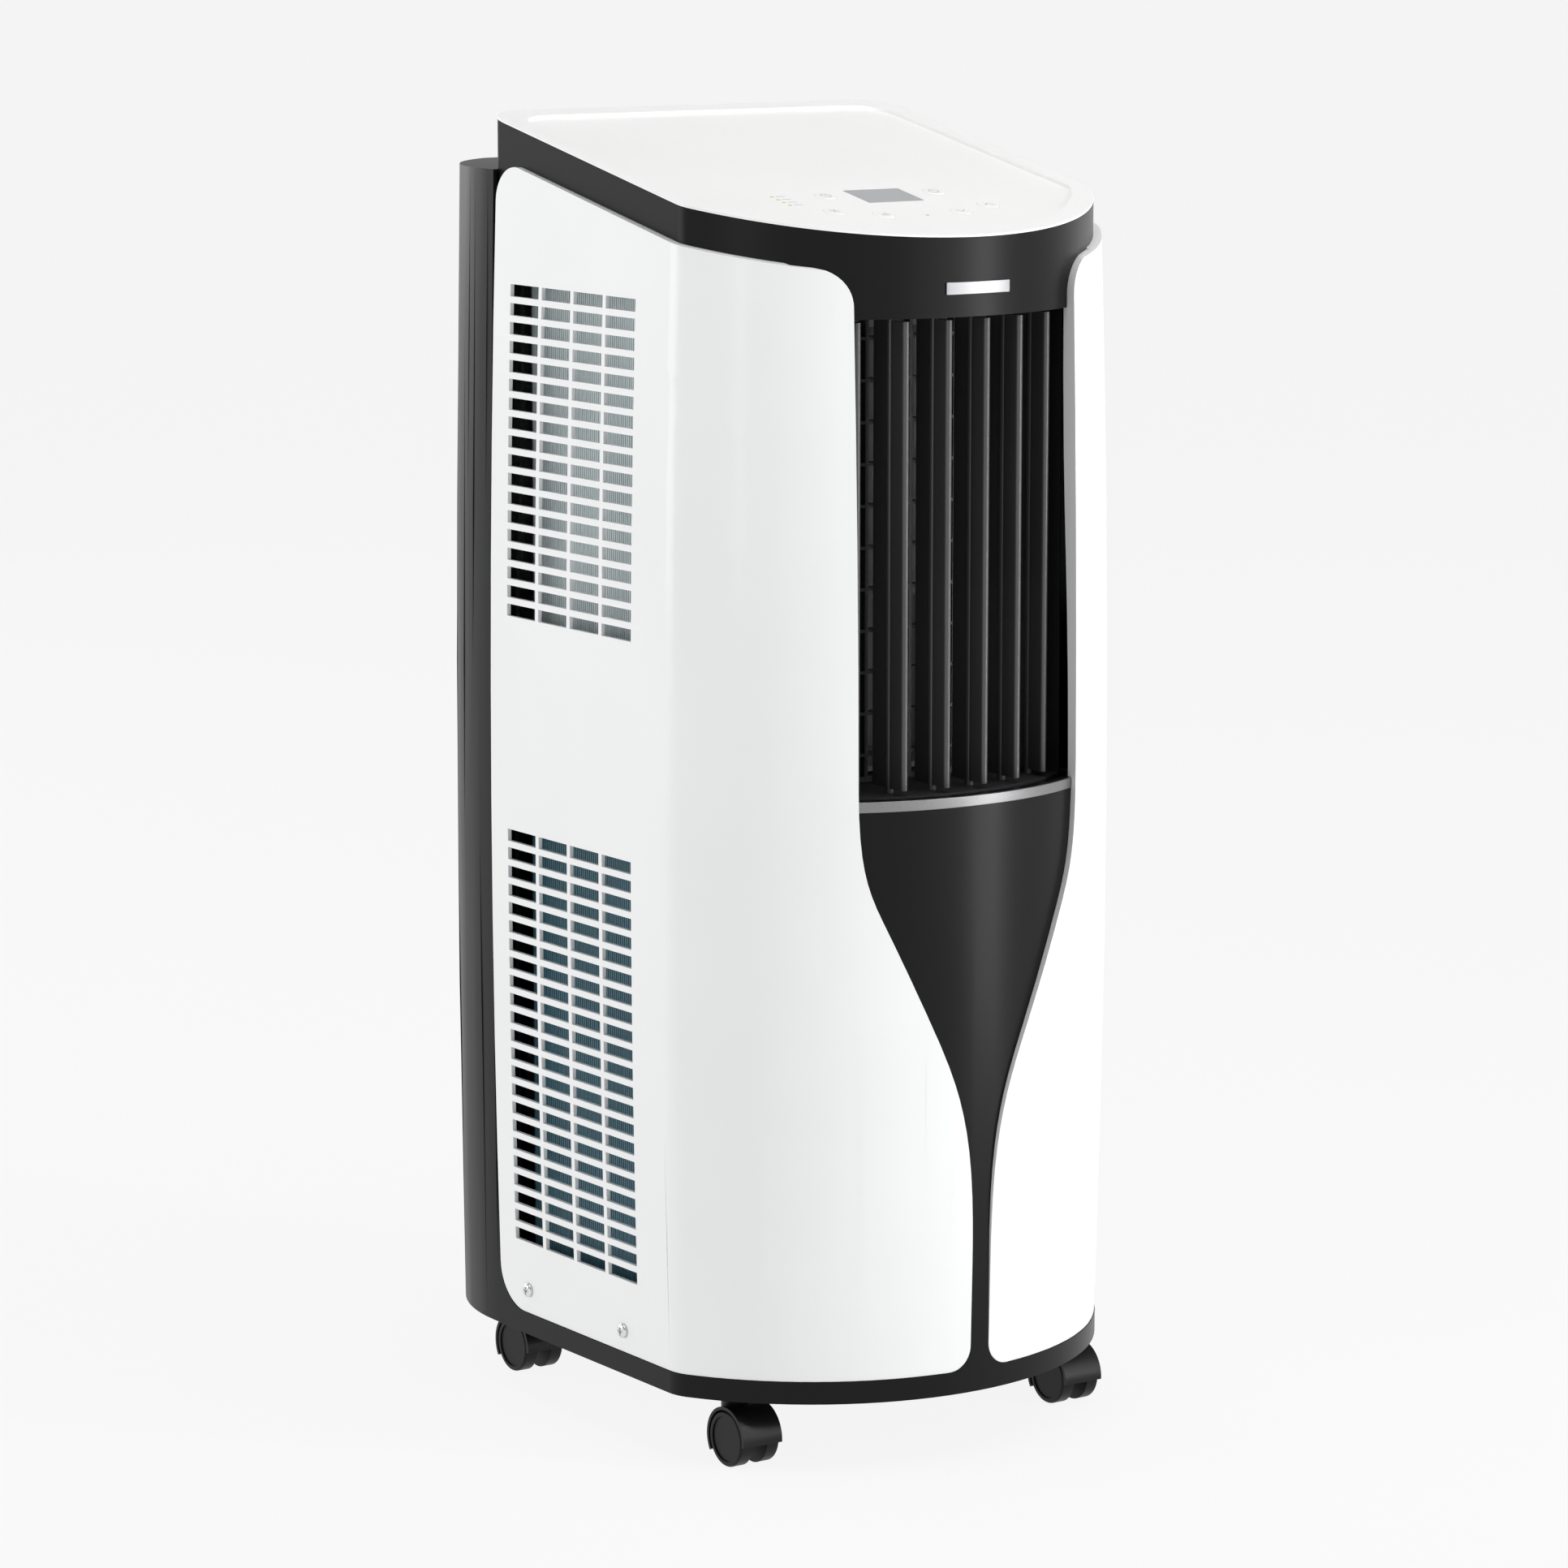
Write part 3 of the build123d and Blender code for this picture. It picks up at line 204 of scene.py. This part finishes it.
def make_board():
    """Green board with lighter copper runs under the varnish."""
    material, tree, shader = new_material("circuit_board", (0.03, 0.16, 0.07), 0.35, coat=0.3)
    tracks = tree.nodes.new("ShaderNodeTexBrick")
    tracks.inputs["Scale"].default_value = 110.0
    tracks.inputs["Mortar Size"].default_value = 0.03
    tracks.inputs["Color1"].default_value = (0.02, 0.14, 0.06, 1)
    tracks.inputs["Color2"].default_value = (0.03, 0.18, 0.08, 1)
    tracks.inputs["Mortar"].default_value = (0.08, 0.30, 0.14, 1)
    tree.links.new(object_coords(tree), tracks.inputs["Vector"])
    tree.links.new(tracks.outputs["Color"], shader.inputs["Base Color"])
    return material


def make_net():
    """Woven filter net: crossed threads with dark holes."""
    material, tree, shader = new_material("filter_net", (0.06, 0.06, 0.065), 0.8)
    height = None
    for direction in ("X", "Z"):
        threads = tree.nodes.new("ShaderNodeTexWave")
        threads.bands_direction = direction
        threads.inputs["Scale"].default_value = 220.0
        tree.links.new(object_coords(tree), threads.inputs["Vector"])
        if height is None:
            height = threads.outputs["Fac"]
        else:
            both = tree.nodes.new("ShaderNodeMath")
            both.operation = "MAXIMUM"
            tree.links.new(height, both.inputs[0])
            tree.links.new(threads.outputs["Fac"], both.inputs[1])
            height = both.outputs[0]
    colour = tint(tree, height, (0.01, 0.01, 0.011), (0.10, 0.10, 0.105))
    tree.links.new(colour, shader.inputs["Base Color"])
    bump(tree, shader, height, 0.6, 0.0003)
    return material


display_grey = make_display()
lamp_amber = make_lens("lamp_amber", (0.75, 0.60, 0.08), 0.15)
ink_grey = make_print("ink_grey", (0.42, 0.43, 0.44))
board_green = make_board()
filter_net = make_net()


# ---------------------------------------------------------------- carried-over CAD nodes

node_materials = {
    "side_panel_left": white_panel,
    "side_panel_right": white_panel,
    "top_cover": white_lid,
    "front_housing": charcoal,
    "rear_shell": charcoal_shell,
    "base_pan": charcoal_base,
    "trim_strip": silver_paint,
    "badge": brushed_foil,
    "display_window": display_grey,
    "indicator_lenses": lamp_amber,
    "control_board": board_green,
    "outlet_duct": black_grid,
    "guide_grille": black_grid,
    "louvre_link": acetal,
    "swing_motor": motor_can,
    "upper_fan_motor": motor_can,
    "lower_fan_motor": motor_can,
    "upper_blower_wheel": black_fan,
    "lower_blower_wheel": black_fan,
    "upper_volute": grey_duct,
    "lower_volute": grey_duct,
    "evaporator_coil": fin_pale_painted_lit,
    "condenser_coil": fin_teal_painted_shade,
    "evaporator_bends": copper,
    "condenser_bends": copper,
    "refrigerant_pipes": copper,
    "compressor": enamel,
    "accumulator": enamel,
    "compressor_grommets": rubber,
    "run_capacitor": drawn_can,
    "control_box": zinc_steel,
    "drip_tray": grey_duct,
    "filter_frame": black_fan,
    "filter_mesh": filter_net,
    "panel_screws": bright_screw,
    "caster_stems": zinc_steel,
    "exhaust_collar": collar_black,
    "drain_plug": rubber,
    "cord_gland": rubber,
}
for name in nodes:
    if name.startswith("vertical_louvre"):
        node_materials[name] = black_blade
    elif name.startswith("key_"):
        node_materials[name] = white_key
    elif name.endswith("caster_hood"):
        node_materials[name] = black_nylon
    elif name.endswith("caster_wheels"):
        node_materials[name] = wheel_nylon


def paint(shape, material):
    shape.data.materials.clear()
    shape.data.materials.append(material)


for name, shape in nodes.items():
    paint(shape, node_materials[name])


# ---------------------------------------------------------------- mesh helpers

def add_piece(name, mesh, material, body):
    """Turns a finished bmesh into a piece that rides on a body."""
    data = bpy.data.meshes.new(name)
    bmesh.ops.recalc_face_normals(mesh, faces=mesh.faces)
    mesh.to_mesh(data)
    mesh.free()
    shape = bpy.data.objects.new(name, data)
    bpy.context.scene.collection.objects.link(shape)
    paint(shape, material)
    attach(shape, body)
    return shape


def plate(mesh, place, size):
    """A thin box of a size at a place, a matrix or a point."""
    where = place if isinstance(place, Matrix) else Matrix.Translation(place)
    bmesh.ops.create_cube(mesh, size=1.0, matrix=where @ Matrix.Diagonal((*size, 1)))


def tube(mesh, points, radius, sides=10):
    """A round tube through a list of points, closed at both ends."""
    rings = []
    for index, point in enumerate(points):
        before = points[max(index - 1, 0)]
        after = points[min(index + 1, len(points) - 1)]
        turn = (after - before).to_track_quat("Z", "X").to_matrix()
        ring = []
        for side in range(sides):
            angle = 2 * math.pi * side / sides
            offset = turn @ Vector((radius * math.cos(angle), radius * math.sin(angle), 0))
            ring.append(mesh.verts.new(point + offset))
        rings.append(ring)
    for low, high in zip(rings, rings[1:]):
        for side in range(sides):
            near = (side + 1) % sides
            mesh.faces.new((low[side], low[near], high[near], high[side])).smooth = True
    mesh.faces.new(rings[0])
    mesh.faces.new(rings[-1])


def solids_of(node):
    """The separate solids of a node, each as its list of corner points."""
    mesh = bmesh.new()
    mesh.from_mesh(nodes[node].data)
    bmesh.ops.remove_doubles(mesh, verts=mesh.verts, dist=1e-6)
    seen = set()
    groups = []
    for first in mesh.verts:
        if first in seen:
            continue
        seen.add(first)
        group, waiting = [], [first]
        while waiting:
            vert = waiting.pop()
            group.append(vert.co.copy())
            for link in vert.link_edges:
                other = link.other_vert(vert)
                if other not in seen:
                    seen.add(other)
                    waiting.append(other)
        groups.append(group)
    mesh.free()
    return groups


# ---------------------------------------------------------------- softened copies of moulded parts

sharp_edge = math.radians(40)
flat_joint = math.radians(0.5)


def flat_mesh(node):
    """A joined-up copy of a node's mesh with its flat faces made whole."""
    mesh = bmesh.new()
    mesh.from_mesh(nodes[node].data)
    bmesh.ops.remove_doubles(mesh, verts=mesh.verts, dist=2e-6)
    bmesh.ops.dissolve_limit(
        mesh, angle_limit=flat_joint, verts=mesh.verts, edges=mesh.edges,
        use_dissolve_boundaries=False,
    )
    return mesh


def soften(node, width):
    """Stands in for a moulded chassis node with its sharp edges rounded."""
    mesh = flat_mesh(node)
    for face in mesh.faces:
        face.smooth = True
    shape = add_piece(f"{node}_soft", mesh, node_materials[node], "chassis")
    rounding = shape.modifiers.new("rounding", "BEVEL")
    rounding.width = width
    rounding.segments = 2
    rounding.limit_method = "ANGLE"
    rounding.angle_limit = sharp_edge
    rounding.use_clamp_overlap = True
    even = shape.modifiers.new("even_shading", "WEIGHTED_NORMAL")
    even.mode = "FACE_AREA"
    even.weight = 100
    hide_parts(node)


edge_widths = {
    "top_cover": 0.0008,
    "side_panel_left": 0.0006,
    "side_panel_right": 0.0006,
    "front_housing": 0.0006,
    "rear_shell": 0.0007,
    "base_pan": 0.0008,
    "trim_strip": 0.0005,
    "badge": 0.0003,
}
for node, width in edge_widths.items():
    soften(node, width)


# ---------------------------------------------------------------- finned coils

fin_pitch = 0.0022
fin_sheet = 0.0012
coil_depth = 0.022
coil_outer_bend = 0.030
bend_step = 7
bend_count = 13
tube_radius = 0.0036
tube_reach = 0.011
end_plate = 0.0011
end_inset = 0.0006
tube_inset = 0.001


def return_bend(x, y, z):
    """Points of a half turn towards the back that joins two tubes one above the other."""
    points = []
    for angle in range(0, 181, 15):
        turn = math.radians(angle)
        points.append(Vector((x, y + tube_reach * math.sin(turn), z - tube_reach * math.cos(turn))))
    return points


def coil_shape(node, opens_back):
    """Main lines of a three-sided coil whose wings end at the back or at the front."""
    low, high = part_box(node)
    toward = -1 if opens_back else 1
    far_y = low.y if opens_back else high.y
    return SimpleNamespace(
        low_z=low.z,
        middle_z=(low.z + high.z) / 2,
        tall=high.z - low.z,
        outer=high.x,
        wing_x=high.x - coil_depth / 2,
        toward=toward,
        end_y=high.y if opens_back else low.y,
        far_y=far_y,
        corner_y=far_y - toward * coil_outer_bend,
    )


def wing_fins(mesh, coil, side, gap):
    """Fins of one straight wing, left out where the gap is."""
    count = int(abs(coil.corner_y - coil.end_y) / fin_pitch)
    for step in range(count):
        y = coil.end_y + coil.toward * (step + 0.5) * fin_pitch
        if gap and gap[0] < y < gap[1]:
            continue
        plate(mesh, (side * coil.wing_x, y, coil.middle_z), (coil_depth, fin_sheet, coil.tall))


def bend_fins(mesh, coil, side):
    """Fins fanned round the corner between a wing and the cross run."""
    radius = coil_outer_bend - coil_depth / 2
    for step in range(bend_count):
        turn = math.radians(bend_step * step)
        x = side * (coil.outer - coil_outer_bend + radius * math.cos(turn))
        y = coil.corner_y + coil.toward * radius * math.sin(turn)
        spin = Matrix.Rotation(side * coil.toward * turn, 4, "Z")
        place = Matrix.Translation((x, y, coil.middle_z)) @ spin
        plate(mesh, place, (coil_depth, fin_sheet, coil.tall))


def cross_fins(mesh, coil):
    """Fins of the run that joins the two wings."""
    reach = coil.outer - coil_outer_bend
    y = coil.far_y - coil.toward * coil_depth / 2
    for step in range(int(2 * reach / fin_pitch)):
        x = (step + 0.5) * fin_pitch - reach
        plate(mesh, (x, y, coil.middle_z), (fin_sheet, coil_depth, coil.tall))


def row_tubes(mesh, coil, side, z, gap):
    """The two tubes of one row in a wing, with a return bend where the gap cuts them."""
    x = side * coil.wing_x
    for shift in (-tube_reach, tube_reach):
        start = Vector((x, coil.end_y + coil.toward * tube_inset, z + shift))
        stop = Vector((x, coil.corner_y, z + shift))
        if gap:
            tube(mesh, [start, Vector((x, gap[0], z + shift))], tube_radius)
            tube(mesh, [Vector((x, gap[1], z + shift)), stop], tube_radius)
        else:
            tube(mesh, [start, stop], tube_radius)
    if gap:
        tube(mesh, return_bend(x, gap[0], z), tube_radius)


def fin_block(name, node, rows, opens_back, gap, fin_material):
    """Fins, end plates and tubes of a three-sided coil, with an optional gap in its wings."""
    coil = coil_shape(node, opens_back)
    sides = (-1, 1)

    fins = bmesh.new()
    for side in sides:
        wing_fins(fins, coil, side, gap)
        bend_fins(fins, coil, side)
    cross_fins(fins, coil)
    piece = add_piece(f"{name}_fins", fins, fin_material, "chassis")
    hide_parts(node)

    ends = bmesh.new()
    stops = [coil.end_y + coil.toward * end_inset] + (list(gap) if gap else [])
    for side in sides:
        for y in stops:
            plate(ends, (side * coil.wing_x, y, coil.middle_z), (coil_depth, end_plate, coil.tall))
    add_piece(f"{name}_end_plates", ends, zinc_steel, "chassis")

    pipes = bmesh.new()
    pitch = coil.tall / rows
    for side in sides:
        for row in range(rows):
            row_tubes(pipes, coil, side, coil.low_z + pitch * (row + 0.5), gap)
    add_piece(f"{name}_tubes", pipes, copper, "chassis")


fin_block("evaporator", "evaporator_coil", 7, opens_back=False, gap=(0.076, 0.104), fin_material=fin_pale_painted_lit)
fin_block("condenser", "condenser_coil", 9, opens_back=True, gap=None, fin_material=fin_teal_painted_shade)


# ---------------------------------------------------------------- panel screws with cross recesses

head_profile = [(1.0, 0.0), (1.0, 0.35), (0.93, 0.62), (0.78, 0.84), (0.55, 0.96)]
head_height = 0.0022
recess_half, recess_reach, recess_depth, recess_taper = 0.15, 0.52, 0.6, 0.8
shank_radius = 0.00145
shank_length = 0.012


def screw_head(mesh, centre, side, radius, height):
    """Pan head turned about X, with a four-way recess sunk in its crown."""
    sides = 48
    rings = []
    for share, rise in head_profile:
        ring = []
        for step in range(sides):
            angle = 2 * math.pi * step / sides
            offset = Vector((side * height * rise, radius * share * math.cos(angle),
                             radius * share * math.sin(angle)))
            ring.append(mesh.verts.new(centre + offset))
        rings.append(ring)
    for low, high in zip(rings, rings[1:]):
        for step in range(sides):
            near = (step + 1) % sides
            mesh.faces.new((low[step], low[near], high[near], high[step])).smooth = True
    cross = []
    for quarter in range(4):
        turn = Matrix.Rotation(math.pi / 2 * quarter, 3, "X")
        for y, z in ((recess_reach, -recess_half), (recess_reach, recess_half), (recess_half, recess_half)):
            cross.append(turn @ Vector((0, y * radius, z * radius)))
    crown = centre + Vector((side * height, 0, 0))
    sunk = centre + Vector((side * height * (1 - recess_depth), 0, 0))
    lip = [mesh.verts.new(crown + v) for v in cross]
    floor = [mesh.verts.new(sunk + v * recess_taper) for v in cross]
    corners = len(cross)
    for step in range(corners):
        near = (step + 1) % corners
        mesh.faces.new((lip[step], lip[near], floor[near], floor[step]))
    mesh.faces.new(floor)
    top = rings[-1]
    span = sides // corners
    eighth = sides // 8
    for step in range(corners):
        fan = [top[(step * span + k - eighth) % sides] for k in range(span + 1)]
        mesh.faces.new((lip[step], *fan, lip[(step + 1) % corners]))


def make_panel_screws():
    heads = bmesh.new()
    for corners in solids_of("panel_screws"):
        xs, ys, zs = ([c[axis] for c in corners] for axis in range(3))
        side = 1 if max(xs) > 0 else -1
        outer = max(xs) if side > 0 else min(xs)
        radius = (max(ys) - min(ys)) / 2
        centre = Vector((outer - side * head_height, (max(ys) + min(ys)) / 2, (max(zs) + min(zs)) / 2))
        screw_head(heads, centre, side, radius, head_height)
        tube(heads, [centre, centre - Vector((side * shank_length, 0, 0))], shank_radius)
    piece = add_piece("panel_screw_heads", heads, bright_screw, "chassis")
    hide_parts("panel_screws")


make_panel_screws()


# ---------------------------------------------------------------- printed symbols on the keys

press = {joint["child"]: joint for joint in frame["joints"] if joint["child"].startswith("key_")}
lid_normal = -Vector(press["key_power"]["axis"]).normalized()
print_film = 0.00005


def lid_frame(origin):
    """Matrix with X to the right, Y up the lid and Z square to it."""
    along_x = Vector((1, 0, 0))
    along_y = lid_normal.cross(along_x)
    turn = Matrix((along_x, along_y, lid_normal)).transposed().to_4x4()
    return Matrix.Translation(origin) @ turn


def top_centre(points):
    """Middle of the upper face of a solid, measured square to the lid."""
    top = max(p.dot(lid_normal) for p in points)
    face = [p for p in points if p.dot(lid_normal) > top - 0.00005]
    low = Vector([min(p[axis] for p in face) for axis in range(3)])
    high = Vector([max(p[axis] for p in face) for axis in range(3)])
    return (low + high) / 2


def bar(mesh, place, start, end, width):
    run = Vector(end) - Vector(start)
    middle = (Vector(start) + Vector(end)) / 2
    turn = Matrix.Rotation(math.atan2(run.y, run.x), 4, "Z")
    shift = Matrix.Translation((middle.x, middle.y, print_film / 2))
    plate(mesh, place @ shift @ turn, (run.length + width, width, print_film))


def arc(mesh, place, radius, start, end, width):
    """Part of a ring, drawn as short bars, from start to end degrees."""
    steps = 20
    for step in range(steps):
        a = math.radians(start + (end - start) * step / steps)
        b = math.radians(start + (end - start) * (step + 1) / steps)
        bar(mesh, place, (radius * math.cos(a), radius * math.sin(a)),
            (radius * math.cos(b), radius * math.sin(b)), width)


def draw_power(mesh, place):
    arc(mesh, place, 0.0030, 120, 420, 0.0006)
    bar(mesh, place, (0, 0.0010), (0, 0.0036), 0.0006)


def draw_timer(mesh, place):
    arc(mesh, place, 0.0031, 0, 360, 0.0006)
    bar(mesh, place, (0, 0), (0, 0.0020), 0.0005)
    bar(mesh, place, (0, 0), (0.0014, 0), 0.0005)


def draw_up(mesh, place):
    bar(mesh, place, (-0.0028, -0.0012), (0, 0.0016), 0.0007)
    bar(mesh, place, (0, 0.0016), (0.0028, -0.0012), 0.0007)


def draw_down(mesh, place):
    bar(mesh, place, (-0.0028, 0.0012), (0, -0.0016), 0.0007)
    bar(mesh, place, (0, -0.0016), (0.0028, 0.0012), 0.0007)


def draw_speed(mesh, place):
    for index in range(3):
        x = (index - 1) * 0.0018
        bar(mesh, place, (x, -0.0022), (x, -0.0006 + 0.0012 * index), 0.0008)


def draw_mode(mesh, place):
    for turn in range(3):
        angle = math.radians(60 * turn)
        reach = (0.0031 * math.cos(angle), 0.0031 * math.sin(angle))
        bar(mesh, place, (-reach[0], -reach[1]), reach, 0.0005)


symbols = {
    "key_power": draw_power,
    "key_timer": draw_timer,
    "key_up": draw_up,
    "key_down": draw_down,
    "key_speed": draw_speed,
    "key_mode": draw_mode,
}
for key, draw in symbols.items():
    ink = bmesh.new()
    draw(ink, lid_frame(top_centre([v.co for v in nodes[key].data.vertices])))
    add_piece(f"{key}_symbol", ink, ink_grey, key)


left_column = -0.05
ink_lift = 0.00006


def make_lamp_marks():
    """A short dash beside each lamp of the left-hand column."""
    marks = bmesh.new()
    for corners in solids_of("indicator_lenses"):
        lamp = top_centre(corners)
        if lamp.x < left_column:
            bar(marks, lid_frame(lamp + lid_normal * ink_lift), (0.0030, 0), (0.0085, 0), 0.0007)
    add_piece("lamp_marks", marks, ink_grey, "chassis")


make_lamp_marks()


# ---------------------------------------------------------------- camera, floor and light

def look_from(place, heading, drop, lens):
    """Camera at a place, looking along a compass heading and down by drop, both in degrees."""
    turn, fall = math.radians(heading), math.radians(drop)
    forward = Vector((
        math.sin(turn) * math.cos(fall), math.cos(turn) * math.cos(fall), -math.sin(fall),
    ))
    data = bpy.data.cameras.new("camera")
    data.sensor_width = 36.0
    data.lens = lens
    camera = bpy.data.objects.new("camera", data)
    camera.location = place
    camera.rotation_euler = forward.to_track_quat("-Z", "Y").to_euler()
    bpy.context.scene.collection.objects.link(camera)
    bpy.context.scene.camera = camera


def softbox(name, heading, height, distance, width, tall, power, aim=0.40):
    """Area light that the camera doesn't see, at a heading round the object in degrees,
    aimed at a height on the object's axis."""
    turn = math.radians(heading)
    place = Vector((math.sin(turn) * distance, -math.cos(turn) * distance, height))
    data = bpy.data.lights.new(name, "AREA")
    data.shape = "RECTANGLE"
    data.size, data.size_y = width, tall
    data.energy = power
    light = bpy.data.objects.new(name, data)
    light.location = place
    light.rotation_euler = (Vector((0, 0, aim)) - place).to_track_quat("-Z", "Y").to_euler()
    light.visible_camera = False
    bpy.context.scene.collection.objects.link(light)


def make_floor(reach, glow):
    """Wide pale studio floor that runs out past the view and gives off an even light."""
    mesh = bmesh.new()
    bmesh.ops.create_circle(mesh, cap_ends=True, radius=reach, segments=96)
    data = bpy.data.meshes.new("studio_floor")
    mesh.to_mesh(data)
    mesh.free()
    floor = bpy.data.objects.new("studio_floor", data)
    bpy.context.scene.collection.objects.link(floor)
    material, tree, shader = new_material("pale_floor", (0.06, 0.06, 0.06), 0.9, specular=0.0)
    drift = noise(tree, object_coords(tree), 0.6, 1.0)
    colour = tint(tree, drift, (0.059, 0.059, 0.059), (0.061, 0.061, 0.061))
    tree.links.new(colour, shader.inputs["Base Color"])
    shader.inputs["Emission Color"].default_value = (1, 1, 1, 1)
    shader.inputs["Emission Strength"].default_value = glow
    paint(floor, material)


def set_world(horizon, sky):
    """Even studio wall, bright low down and dimmer overhead."""
    world = bpy.data.worlds.new("studio")
    world.use_nodes = True
    tree = world.node_tree
    direction = tree.nodes.new("ShaderNodeTexCoord")
    parts = tree.nodes.new("ShaderNodeSeparateXYZ")
    fade = tree.nodes.new("ShaderNodeMapRange")
    fade.inputs["From Min"].default_value = 0.12
    fade.inputs["From Max"].default_value = 0.32
    fade.inputs["To Min"].default_value = horizon
    fade.inputs["To Max"].default_value = sky
    tree.links.new(direction.outputs["Generated"], parts.inputs["Vector"])
    tree.links.new(parts.outputs["Z"], fade.inputs["Value"])
    tree.nodes["Background"].inputs["Color"].default_value = (1, 1, 1, 1)
    tree.links.new(fade.outputs["Result"], tree.nodes["Background"].inputs["Strength"])
    bpy.context.scene.world = world


look_from((-1.8358, -2.6640, 0.9222), heading=34.547, drop=9.686, lens=125.85)
make_floor(reach=60.0, glow=0.89)
set_world(horizon=0.89, sky=0.24)
softbox("front_strip", heading=34, height=1.00, distance=1.3, width=0.12, tall=2.0, power=11, aim=1.00)
softbox("key_right", heading=18, height=1.35, distance=3.2, width=1.20, tall=2.7, power=12)
softbox("right_fill", heading=100, height=1.30, distance=3.2, width=1.60, tall=2.4, power=5)
softbox("left_back", heading=-120, height=1.35, distance=3.0, width=1.40, tall=2.6, power=26)
softbox("back_soft", heading=190, height=1.50, distance=3.4, width=1.80, tall=2.2, power=26)
softbox("left_strip", heading=-62, height=1.40, distance=4.0, width=0.35, tall=2.8, power=9)
softbox("overhead", heading=10, height=3.20, distance=0.6, width=2.20, tall=2.2, power=45)

bpy.context.scene.view_settings.view_transform = "Standard"
